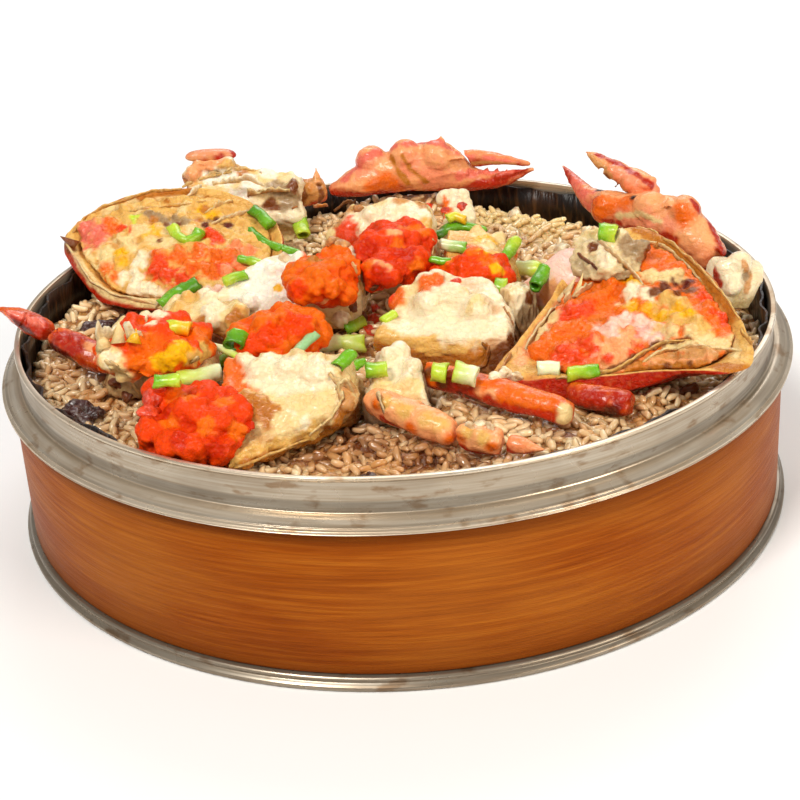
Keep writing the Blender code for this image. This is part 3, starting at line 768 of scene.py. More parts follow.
    def tugged(self, pixel: Pixel, step: Vector, reach: float, lower: bool = False) -> "Form":
        """Pulls the surface about one place, less with the distance from it.

        Args:
            pixel: The pixel that shows the place.
            step: How far the place itself moves.
            reach: How far the pull reaches, in metres.
            lower: Whether only what faces down is pulled.

        Returns:
            The piece itself.
        """
        places = self.places()
        spot = CAMERA.spot(self.tree(), pixel, Vector(places.mean(0)))
        away = np.linalg.norm(places - np.array(spot, np.float32), axis=1) / reach
        share = np.clip(1 - away * away, 0, 1)
        if lower:
            share = share * np.clip(0.5 - self.normals()[:, 2] * 2, 0, 1)
        return self.move(share[:, None] * np.array(step, np.float32))

    def tree(self) -> BVHTree:
        """A search tree over the mesh."""
        return tree_over([self.mesh])

    def paint(self, base: Tint, foot: Tint, strokes: list[Dab], seed: int = 0,
              rise: float = 0.012, edge: float = 0.5, blur: float = 0.45,
              under: Tint | None = None) -> "Form":
        """Paints the piece in one tint, another at its foot, and patches over them. The foot tint,
        partly the food's own colour, also fills hollows and down-facing sides as painted shade, and
        what faces up takes more of the base tint as painted light.

        Args:
            base: The tint of the piece's upper side.
            foot: The tint that its lower parts go over to, and its hollows and down-facing sides as
                painted shade.
            strokes: The patches, the later ones over the earlier ones.
            seed: What sets one piece's paint apart from another's.
            rise: Height over which the foot's tint gives way, in metres.
            edge: How ragged the patches' edges are.
            blur: How gently the patches end.
            under: The tint of what faces out and down.

        Returns:
            The piece itself.
        """
        places = self.places()
        top_lit = np.clip(self.normals()[:, 2] * 0.5 + 0.5, 0, 1)
        low = places[:, 2].min()
        share = np.clip((places[:, 2] - low) / rise, 0, 1)
        wander = pattern(Relief.SOFT, places, WANDER_SIZE, seed)
        ragged = wander + 0.5 * pattern(Relief.SOFT, places, FRAY_SIZE, seed + 5)
        # Painted light and shade: faces that turn up take the base tint, hollows of the relief go
        # over to the foot tint.
        hollow = np.clip(self.raised, *HOLLOW_RANGE) * HOLLOW_SHADE
        mix = np.clip(share * 0.6 + top_lit * 0.6 + wander * 0.25 - 0.1 + hollow, 0, 1)[:, None]
        colour = foot.rgb() * (1 - mix) + base.rgb() * mix
        if under:
            outward = places - places.mean(0)
            outward[:, 2] = 0
            facing = (self.normals() * outward).sum(1) / np.linalg.norm(outward, axis=1)
            turned = facing - self.normals()[:, 2] + UNDER_START + wander * 0.2
            down = np.clip(turned / UNDER_BLUR, 0, 1)[:, None] * (facing > 0.05)[:, None]
            colour = colour * (1 - down) + under.rgb() * down
        if strokes:
            tree = self.tree()
            middle = Vector(places.mean(0))
            for stroke in strokes:
                spot = CAMERA.spot(tree, (stroke.px, stroke.py), middle)
                away = np.linalg.norm(places - np.array(spot, np.float32), axis=1) / stroke.size
                cover = np.clip((1.0 + blur / 2 - away + ragged * edge) / blur, 0, 1)
                cover = (cover * cover * (3 - 2 * cover))[:, None]
                colour = colour * (1 - cover) + stroke.tint.rgb() * cover
        return self.coloured(colour)

    def coloured(self, colour: np.ndarray) -> "Form":
        """Writes the tint of each vertex.

        Args:
            colour: Linear colours, a row each.

        Returns:
            The piece itself.
        """
        layer = self.mesh.color_attributes.new(TINT, "FLOAT_COLOR", "POINT")
        rows = np.ones((len(self.mesh.vertices), 4), np.float32)
        rows[:, :3] = colour
        layer.data.foreach_set("color", rows.ravel())
        return self

    def shown(self, finish: bpy.types.Material, slot: str, *nodes: str) -> bpy.types.Object:
        """Puts the finished piece in the scene.

        Args:
            finish: Its material.
            slot: Not used.
            nodes: The nodes that it stands for.

        Returns:
            The piece's object.
        """
        self.mesh.materials.clear()
        self.mesh.materials.append(finish)
        self.mesh.polygons.foreach_set("use_smooth", [True] * len(self.mesh.polygons))
        piece = bpy.data.objects.new(self.name, self.mesh)
        bpy.context.scene.collection.objects.link(piece)
        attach(piece, "root")
        if nodes:
            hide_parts(*nodes)
        LOG.info("%s: %d faces", self.name, len(self.mesh.polygons))
        return piece


def pattern(kind: Relief, places: np.ndarray, size: float, seed: int) -> np.ndarray:
    """Noise at some places.

    Args:
        kind: The kind of noise.
        places: The places, a row each.
        size: The size of its features, in metres.
        seed: What sets one noise apart from another.

    Returns:
        A value for each place, about -1 to 1.
    """
    rows = [Vector(row) for row in (places / size + (seed * 3.7, seed * 1.9, seed * 2.3)).tolist()]
    if kind is Relief.LOBES:
        near = np.array([noise.voronoi(row)[0][0] for row in rows], np.float32)
        return 0.75 - np.clip(near / LOBE_REACH, 0, 1.3) ** 2
    soft = np.array([noise.noise(row) for row in rows], np.float32)
    if kind is Relief.RIDGES:
        return 0.6 - np.abs(soft) * 3.0
    return soft


def joined(name: str, parts: list[tuple[np.ndarray, list, np.ndarray]]) -> Form:
    """Joins many small meshes into one piece.

    Args:
        name: The piece's name.
        parts: For each, its vertices, its faces and its colour.

    Returns:
        The piece, painted.
    """
    corners, faces, colours, first = [], [], [], 0
    for places, links, colour in parts:
        corners.append(places)
        faces += [[first + i for i in link] for link in links]
        colours.append(np.broadcast_to(colour, places.shape))
        first += len(places)
    mesh = bpy.data.meshes.new(name)
    mesh.from_pydata(np.concatenate(corners).tolist(), [], faces)
    mesh.update()
    return Form(name, mesh).coloured(np.concatenate(colours))


def template(shape: bmesh.types.BMesh) -> tuple[np.ndarray, list]:
    """Takes the vertices and faces out of a bmesh, to repeat them.

    Args:
        shape: The bmesh, which is freed.

    Returns:
        Its vertices, a row each, and its faces.
    """
    shape.verts.index_update()
    places = np.array([vert.co for vert in shape.verts], np.float32)
    links = [[vert.index for vert in face.verts] for face in shape.faces]
    shape.free()
    return places, links


def any_turn(rnd: random.Random, lean: float) -> np.ndarray:
    """A turn to any heading, with a lean.

    Args:
        rnd: The source of chance.
        lean: How far it may lean from level, in degrees.

    Returns:
        A 3 x 3 matrix.
    """
    turn = (Matrix.Rotation(rnd.uniform(0, math.tau), 3, "Z")
            @ Matrix.Rotation(math.radians(rnd.uniform(-lean, lean)), 3, "Y")
            @ Matrix.Rotation(rnd.uniform(0, math.tau), 3, "X"))
    return np.array(turn, np.float32)


def tree_over(meshes: list[bpy.types.Mesh]) -> BVHTree:
    """A search tree over some meshes.

    Args:
        meshes: The meshes.

    Returns:
        The tree.
    """
    corners, faces = [], []
    for mesh in meshes:
        first = len(corners)
        corners += [v.co.copy() for v in mesh.vertices]
        faces += [tuple(first + i for i in p.vertices) for p in mesh.polygons]
    return BVHTree.FromPolygons(corners, faces)


def food_tree() -> BVHTree:
    """A search tree over all the painted food that is in the scene so far."""
    pieces = [p for p in bpy.context.scene.collection.objects if p.type == "MESH"]
    return tree_over([p.data for p in pieces if TINT in p.data.color_attributes])


def traced(ground: BVHTree, line: tuple[Pixel, ...], step: float, lift: float,
           level: bool = False) -> list[Vector]:
    """Lays a line of the photograph on the food.

    Args:
        ground: A search tree over the food.
        line: The pixels that the line runs through.
        step: How far apart its places are, in metres.
        lift: How far it is brought towards the camera, in metres.
        level: Whether it lies straight, on a gentle slope, and doesn't follow the food.

    Returns:
        Evenly spaced places.
    """
    fine = [(a[0] + (b[0] - a[0]) * k / 6, a[1] + (b[1] - a[1]) * k / 6)
            for a, b in zip(line, line[1:]) for k in range(6)] + [line[-1]]
    middle = CAMERA.spot(ground, line[len(line) // 2])
    away = np.array([(CAMERA.spot(ground, p, middle) - CAMERA.place).length for p in fine])
    if level:
        slope = Vector((0.0, -math.sin(SLOPE), math.cos(SLOPE)))
        depth = slope.dot(CAMERA.ray(fine[len(fine) // 2])) * float(np.median(away))
        away = np.array([depth / slope.dot(CAMERA.ray(p)) for p in fine])
    away = np.convolve(np.pad(away, 2, mode="edge"), np.ones(5) / 5, mode="valid") - lift
    found = np.array([CAMERA.place + CAMERA.ray(p) * a for p, a in zip(fine, away)])
    along = np.append(0, np.cumsum(np.linalg.norm(np.diff(found, axis=0), axis=1)))
    even = np.linspace(0, along[-1], max(4, int(along[-1] / step)))
    return [Vector([np.interp(s, along, found[:, k]) for k in range(3)]) for s in even]


def tube(way: list[Vector], radius: float, hollow: float) -> tuple[np.ndarray, list, np.ndarray]:
    """A tube along a line.

    Args:
        way: The places that it runs through.
        radius: Its outer radius in metres.
        hollow: Its bore as a share of its radius, or 0 for a solid rod.

    Returns:
        Its vertices, its faces, and for each vertex how far along it lies.
    """
    shape = bmesh.new()
    last = len(way) - 1
    stations = [(k, 1.0) for k in range(last + 1)]
    if hollow:
        stations += [(k, hollow) for k in reversed(range(last + 1))]
    rings, share = [], []
    for k, size in stations:
        ahead = way[min(k + 1, last)] - way[max(k - 1, 0)]
        turn = ahead.to_track_quat("Z", "Y").to_matrix().to_4x4()
        ring = bmesh.ops.create_circle(shape, segments=TUBE_SIDES, radius=radius * size,
                                       matrix=Matrix.Translation(way[k]) @ turn)["verts"]
        share += [k / last] * TUBE_SIDES
        rings.append(list({edge for vert in ring for edge in vert.link_edges}))
    pairs = list(zip(rings, rings[1:]))
    if hollow:
        pairs.append((rings[-1], rings[0]))
    else:
        bmesh.ops.edgeloop_fill(shape, edges=rings[0])
        bmesh.ops.edgeloop_fill(shape, edges=rings[-1])
    for first, second in pairs:
        bmesh.ops.bridge_loops(shape, edges=first + second)
    bmesh.ops.recalc_face_normals(shape, faces=shape.faces)
    return (*template(shape), np.array(share, np.float32))


@dataclass(frozen=True)
class Skin:
    """A thin torn skin that stands on the food along a line of the photograph."""

    line: tuple[Pixel, ...]
    height: float
    foot: Tint
    edge: Tint
    torn: float = 0.5
    lean: tuple[float, float, float] = (0.0, -0.25, 1.0)
    rows: int = 5
    step: float = 0.0008
    lift: float = 0.0004
    sink: float = 0.0008
    curl: float = 0.0007
    curls: float = 190
    away: float = 0.8

    @classmethod
    def table(cls, rows: str) -> list["Skin"]:
        """Reads skins.

        Args:
            rows: For each, its height in millimetres, its tints at the foot and the edge, how torn
                it is, where it leans to if that is unusual, and its line.

        Returns:
            The skins.
        """
        return [cls(line, float(words[0]), Tint.named(words[1]), Tint.named(words[2]),
                    float(words[3]), tuple(map(float, words[4:])) or cls.lean)
                for words, line in rows_of(rows)]

    def part(self, ground: BVHTree, seed: int) -> tuple[np.ndarray, list, np.ndarray]:
        """Makes the skin.

        Args:
            ground: A search tree over the food.
            seed: What sets its tears apart.

        Returns:
            Its vertices, faces and colours.
        """
        rnd = random.Random(seed)
        way = traced(ground, self.line, self.step, self.lift)
        lean = Vector(self.lean).normalized()
        rows, level, places, colours = self.rows, 0.0, [], []
        for k, foot in enumerate(way):
            level = 0.7 * level + 0.45 * rnd.uniform(-1, 1)
            end = min(1.0, 0.35 + 4 * min(k, len(way) - 1 - k) / len(way))
            ragged = 1 + self.torn * (level * 0.9 + rnd.uniform(-0.12, 0.12))
            tall = self.height * MM * end * ragged
            for row in range(rows):
                share = row / (rows - 1)
                seat = foot * self.curls + Vector((seed, 0, share * 1.5))
                curl = noise.noise_vector(seat) * self.curl * share
                places.append(foot + lean * (tall * share - self.sink) + curl)
                shade = np.clip(share + rnd.uniform(-0.3, 0.3), 0, 1)
                colour = self.foot.rgb() * (1 - shade) + self.edge.rgb() * shade
                colours.append(colour * rnd.uniform(0.75, 1.05))
        flat = [abs((b - a).normalized().dot((a - CAMERA.place).normalized())) < self.away
                for a, b in zip(way, way[1:])]
        links = [[k * rows + r, k * rows + rows + r, k * rows + rows + r + 1, k * rows + r + 1]
                 for k in range(len(way) - 1) if flat[k] for r in range(rows - 1)]
        used = sorted({i for link in links for i in link})
        place = {old: new for new, old in enumerate(used)}
        links = [[place[i] for i in link] for link in links]
        return np.array(places, np.float32)[used], links, np.array(colours, np.float32)[used]


@dataclass(frozen=True)
class Spike:
    """A pointed bit of shell, from its foot to its tip as the photograph shows them."""

    foot: Pixel
    tip: Pixel
    width: float
    tint: Tint
    sides: int = 9
    point: float = 0.0001
    over: float = 1.15
    seat: float = 0.42

    @classmethod
    def table(cls, rows: str) -> list["Spike"]:
        """Reads spikes, for each its width in millimetres, its tint, its foot and its tip."""
        return [cls(*ends, float(width), Tint.named(tint)) for (width, tint), ends in rows_of(rows)]

    def add_to(self, shape: bmesh.types.BMesh, ground: BVHTree, near: Vector) -> None:
        """Adds the spike to a shape.

        Args:
            shape: The shape.
            ground: A search tree over what it stands on.
            near: A place that its foot is close to.
        """
        foot = CAMERA.spot(ground, self.foot, near)
        tip = CAMERA.place + CAMERA.ray(self.tip) * (foot - CAMERA.place).length
        reach = tip - foot
        turn = reach.to_track_quat("Z", "Y").to_matrix().to_4x4()
        bmesh.ops.create_cone(shape, segments=self.sides, radius1=self.width * MM / 2,
                              radius2=self.point, depth=reach.length * self.over, cap_ends=True,
                              matrix=Matrix.Translation(foot + reach * self.seat) @ turn)

    def part(self, ground: BVHTree, near: Vector) -> tuple[np.ndarray, list, np.ndarray]:
        """Makes the spike as a piece of its own.

        Args:
            ground: A search tree over the food.
            near: A place that its foot is close to.

        Returns:
            Its vertices, faces and colours.
        """
        shape = bmesh.new()
        self.add_to(shape, ground, near)
        places, links = template(shape)
        return places, links, np.broadcast_to(self.tint.rgb(), places.shape)


@dataclass(frozen=True)
class Crumbs:
    """Small lumps of one tint, where the photograph shows them."""

    tint: Tint
    spots: tuple[tuple[float, float, float], ...]
    flat: float = 0.62
    lumpy: float = 0.55
    sink: float = 0.15
    large: float = 2.0

    def parts(self, ground: BVHTree, seed: int) -> list[tuple[np.ndarray, list, np.ndarray]]:
        """Makes the lumps.

        Args:
            ground: A search tree over the food.
            seed: What sets them apart.

        Returns:
            For each, its vertices, faces and colours.
        """
        rnd = random.Random(seed)
        made = []
        for x, y, size in self.spots:
            shape = bmesh.new()
            levels = 3 if size > self.large else 2
            bmesh.ops.create_icosphere(shape, subdivisions=levels, radius=1.0)
            places, links = template(shape)
            place = CAMERA.spot(ground, (x, y)) + CAMERA.ray((x, y)) * (size * MM * self.sink)
            seat = rnd.uniform(0, 50)
            rough = pattern(Relief.SOFT, places + seat, 1.1, seed)
            rough += 0.4 * pattern(Relief.SOFT, places + seat, 0.5, seed + 3)
            shaped = places * (1 + rough * self.lumpy)[:, None]
            squash = np.array([rnd.uniform(0.85, 1.25), rnd.uniform(0.85, 1.1), self.flat])
            shaped = (shaped * squash) @ any_turn(rnd, 30).T * size * MM
            # Painted light and shade: each lump lighter on its bumps and darker in its dents, with
            # a little random tone.
            painted_light = np.clip(0.85 + rough * 0.5 + rnd.uniform(-0.08, 0.08), 0.5, 1.1)[:, None]
            colour = self.tint.rgb() * painted_light ** np.array([1.0, 1.6, 2.2])
            made.append((shaped + np.array(place, np.float32), links, colour))
        return made


# The basket


@dataclass
class SteamerBasket:
    """The bent wood band between its two steel rings."""

    rim_radius: float = 0.130
    collar_radius: float = 0.12365
    collar_wall: float = 0.0012
    height: float = 0.0657
    shoulder_z: float = 0.0542
    bead_z: float = 0.0512
    band_radius: float = 0.1268
    band_wall: float = 0.0042
    foot_radius: float = 0.1294
    foot_height: float = 0.0042
    gap: float = 0.0003
    steps: int = 192

    def turned(self, name: str, profile: list[tuple[float, float]], bevel: float) -> Form:
        """Spins a closed profile about the basket's axis.

        Args:
            name: The piece's name.
            profile: Its (radius, height) corners.
            bevel: How far its edges are rounded, in metres.

        Returns:
            The piece.
        """
        shape = bmesh.new()
        corners = [shape.verts.new((radius, 0, height)) for radius, height in profile]
        edges = [shape.edges.new(pair) for pair in zip(corners, corners[1:] + corners[:1])]
        bmesh.ops.spin(shape, geom=corners + edges, cent=(0, 0, 0), axis=(0, 0, 1),
                       angle=math.tau, steps=self.steps, use_merge=True)
        bmesh.ops.remove_doubles(shape, verts=shape.verts, dist=MERGE)
        bmesh.ops.recalc_face_normals(shape, faces=shape.faces)
        round_edges = [e for e in shape.edges if e.calc_face_angle(0.0) > 0.5]
        bmesh.ops.bevel(shape, geom=round_edges, offset=bevel, affect="EDGES", segments=2,
                        profile=0.5, material=-1, clamp_overlap=True)
        return Form.of_shape(name, shape)

    def top_profile(self) -> list[tuple[float, float]]:
        """The steel top: rolled lip, collar, groove, ridge and the bead over the band.

        Returns:
            The profile's corners.
        """
        out, rim, inner = self.collar_radius, self.rim_radius, self.collar_radius - self.collar_wall
        top, shoulder, bead = self.height, self.shoulder_z, self.bead_z
        return [
            (out + 0.0004, top), (out + 0.0006, top - 0.0007), (out, top - 0.0014),
            (out, shoulder + 0.0012), (out + 0.0003, shoulder + 0.0006),
            (out + 0.0010, shoulder + 0.0008), (out + 0.0022, shoulder + 0.0006),
            (out + 0.0035, shoulder), (rim - 0.0018, shoulder - 0.0008),
            (rim - 0.0010, shoulder - 0.0010), (rim - 0.0012, shoulder - 0.0014),
            (rim - 0.0001, shoulder - 0.0017), (rim, bead + 0.0008),
            (rim - 0.0006, bead + 0.0005), (rim - 0.0001, bead + 0.0002), (rim - 0.0004, bead),
            (self.band_radius + self.gap, bead),
            (self.band_radius + self.gap, bead - 0.0010 + self.gap),
            (inner, bead - 0.0010 + self.gap), (inner, top),
        ]

    def foot_profile(self) -> list[tuple[float, float]]:
        """The steel foot with its two beads.

        Returns:
            The profile's corners.
        """
        out, high = self.foot_radius, self.foot_height
        inner = self.band_radius - self.band_wall - 0.0060
        return [
            (out - 0.0016, high), (out - 0.0010, high - 0.0006), (out - 0.0014, high * 0.60),
            (out - 0.0008, high * 0.52), (out, high * 0.36), (out, 0.0006), (out - 0.0006, 0.0),
            (inner, 0.0), (inner, high),
        ]

    def build(self) -> None:
        """Makes the rings and the band, and dresses the base."""
        steel, wood = Steel().material(), BentWood().material()
        self.turned("steel_top", self.top_profile(), 0.00018).shown(steel, "steel", "top_ring")
        self.turned("steel_foot", self.foot_profile(), 0.00018).shown(steel, "steel", "foot_ring")
        inner = self.band_radius - self.band_wall
        low, high = self.foot_height + self.gap, self.bead_z - 0.0010
        band = [(self.band_radius, high), (self.band_radius, low), (inner, low), (inner, high)]
        self.turned("wood_wall", band, 0.0004).shown(wood, "wood", "wood_band")
        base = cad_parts["base_disc"]
        base.data.materials.clear()
        base.data.materials.append(wood)


@dataclass
class LeafLining:
    """The dark leaf between the rice and the wall, wavy along its upper edge."""

    radius: float = 0.1215
    start: float = 0.052
    height: float = 0.010
    folds: int = 34
    inset: float = 0.0009
    wave: float = 0.0008
    ripples: int = 21
    ripple: float = 0.0006

    def build(self) -> None:
        """Makes the lining from its solid, with upright folds that deepen towards its edge."""
        form = Form.of_nodes("leaf_wall", "leaf_lining").divided(5)
        places = form.places()
        angle = np.arctan2(places[:, 1], places[:, 0])
        rise = np.clip((places[:, 2] - self.start) / self.height, 0, 1)
        wave = np.sin(angle * self.folds) + 0.6 * np.sin(angle * self.folds * 2.3 + 1.0)
        inward = -places * np.array([1, 1, 0]) / self.radius
        steps = inward * (rise * (self.inset + self.wave * wave))[:, None]
        steps[:, 2] += rise * self.ripple * np.sin(angle * self.ripples + 2.0)
        form.move(steps).shown(WetLeaf().material(), "leaf", "leaf_lining")


# The rice


@dataclass
class RiceBed:
    """The rice: a core and, wherever it shows, grains that lie on it."""

    radius: float = 0.1208
    rim: float = 0.110
    core_top: float = 0.045
    grain_length: float = 0.0050
    grain_width: float = 0.0025
    grain_bend: float = 0.0012
    spacing: float = 0.0022
    tries: int = 70000
    sink: float = 0.0006
    seed: int = 11
    upper_share: float = 0.40
    low_lift: tuple[float, float] = (-0.0006, 0.0003)
    high_lift: tuple[float, float] = (0.0006, 0.0017)
    low_lean: float = 22
    high_lean: float = 38
    low_room: float = 0.0015
    high_room: float = 0.0045
    clear: float = 0.0016
    edge_room: float = 0.0022
    # Patches of sauce, tan and brown; the brown row along the wall at the right is painted shade in
    # the gap there, and the cream row at the back is painted light.
    sauce_and_painted_light: list[Dab] = field(default_factory=lambda: patches("""
        tan 12: 330,452 380,462 430,462 300,456
        tan 9: 110,400 80,360 60,320 640,420
        brown 7: 310,460 350,440 370,452 420,462 470,466 180,452 230,462
        brown 8: 742,262 756,292 762,326 764,356
        brown 5: 60,300 100,375 560,430 140,425
        cream 14: 490,216 520,220 548,226 462,204
    """))

    def core(self) -> BVHTree:
        """Makes the core, a little lower than the grains' tops, painted a syrup brown that is
        partly sauce and partly painted shade between the grains.

        Returns:
            Its search tree.
        """
        form = Form.of_nodes("rice_core", "rice")
        places = form.places()
        top = (places[:, 2] > self.core_top).astype(np.float32)
        right = np.clip(places[:, 0] / 0.10, 0, 1)
        past = np.hypot(places[:, 0], places[:, 1]) - self.rim + 0.008 * right
        rim = np.clip(past / 0.010, 0, 1) ** 2
        front = np.clip(-places[:, 1] / 0.09, 0, 1)
        lowered = self.sink + rim * (0.0050 + 0.0030 * right - 0.0030 * front)
        form.move(np.stack([0 * top, 0 * top, -lowered * top], 1)).divided(1)
        # Syrup brown: partly sauce, partly painted shade in the gaps between grains.
        form.paint(Tint.SAUCE_AND_SHADE, Tint.SAUCE_AND_SHADE, self.sauce_and_painted_light, seed=2)
        tree = form.tree()
        depth = Food("rice_depth", rough=0.3, wet=1.0, glow=0.5, mottle=0.5, depth=0.0010)
        form.shown(depth.material(), "rice", "rice")
        return tree

    def grain(self) -> tuple[np.ndarray, list]:
        """One grain, lying along X, a little bent and blunter at one end.

        Returns:
            Its vertices and faces.
        """
        shape = bmesh.new()
        bmesh.ops.create_uvsphere(shape, u_segments=5, v_segments=6, radius=0.5)
        for vert in shape.verts:
            x, y, z = vert.co.z, vert.co.y, vert.co.x
            blunt = (1.0 + 0.16 * x) * (1.0 + 5.0 * x ** 4)
            x *= 1.28 - 1.12 * x * x
            bend = self.grain_bend * (x * x * 4 - 1) * 0.4
            vert.co = Vector((x * self.grain_length, y * self.grain_width * blunt,
                              z * self.grain_width * 0.82 * blunt - bend))
        bmesh.ops.reverse_faces(shape, faces=shape.faces)
        return template(shape)

    def build(self, toppings: BVHTree) -> None:
        """Scatters the grains over the core.

        Args:
            toppings: A search tree over all that lies on the rice.
        """
        core = self.core()
        rnd = random.Random(self.seed)
        places, links = self.grain()
        cells, low, high = {}, [], []
        sauce_and_light_spots = [(s, CAMERA.spot(core, (s.px, s.py))) for s in self.sauce_and_painted_light]
        for _ in range(self.tries):
            away = self.radius * math.sqrt(rnd.random())
            angle = rnd.uniform(0, math.tau)
            x, y = away * math.cos(angle), away * math.sin(angle)
            cell = (int(x // self.spacing), int(y // self.spacing))
            crowd = [s for i in (-1, 0, 1) for j in (-1, 0, 1)
                     for s in cells.get((cell[0] + i, cell[1] + j), ())]
            if any((x - s[0]) ** 2 + (y - s[1]) ** 2 < self.spacing ** 2 for s in crowd):
                continue
            hit = core.ray_cast(Vector((x, y, 0.12)), Vector((0, 0, -1)))[0]
            if hit is None:
                continue
            upper = rnd.random() < self.upper_share
            spot = hit + Vector((0, 0, rnd.uniform(*(self.high_lift if upper else self.low_lift))))
            cover = toppings.ray_cast(spot, Vector((0, 0, 1)))[0]
            if cover and (cover - spot).length < (self.high_room if upper else self.low_room):
                continue
            near = toppings.find_nearest(spot, self.clear)[0]
            if near is not None or spot.xy.length > self.radius - self.edge_room:
                continue
            cells.setdefault(cell, []).append((x, y))
            size = rnd.uniform(0.86, 1.12)
            turned = places * size @ any_turn(rnd, self.high_lean if upper else self.low_lean).T
            shade = rnd.random() * (0.6 if upper else 0.9)
            pale, dark = Tint.RICE.rgb(), Tint.GRAIN.rgb()
            colour = pale * (1 - shade) * 0.85 + dark * (0.15 + shade * 0.85)
            # Grains near a patch take its tint, sauce, painted shade and painted light alike.
            for stroke, centre in sauce_and_light_spots:
                away = (spot - centre).length / stroke.size
                sauce_and_light_share = max(0.0, min(1.0, 1.3 - away)) * rnd.uniform(0.5, 1.0)
                colour = colour * (1 - sauce_and_light_share) + stroke.tint.rgb() * sauce_and_light_share
            part = (turned + np.array(spot, np.float32), links, colour)
            (high if upper else low).append(part)
        finish = Food("rice_grain", rough=0.22, wet=1.0, shine=0.6, glow=0.40, reach=0.0020,
                      mottle=0.14, speck=0.0018, depth=0.00008, vein=0.0,
                      inner=(1.0, 0.85, 0.70)).material()
        joined("rice_grains_low", low).shown(finish, "rice")
        joined("rice_grains_high", high).shown(finish, "rice")


# The crab


@dataclass(frozen=True)
class Cut:
    """How one soft piece is refined, shaped and painted."""

    node: str
    base: Tint
    foot: Tint
    strokes: list[Dab] = field(default_factory=list)
    grain: float = 0.7
    lumps: float = 0.8
    fibre: float = 0.30
    stretch: tuple = (1, 1, 1)


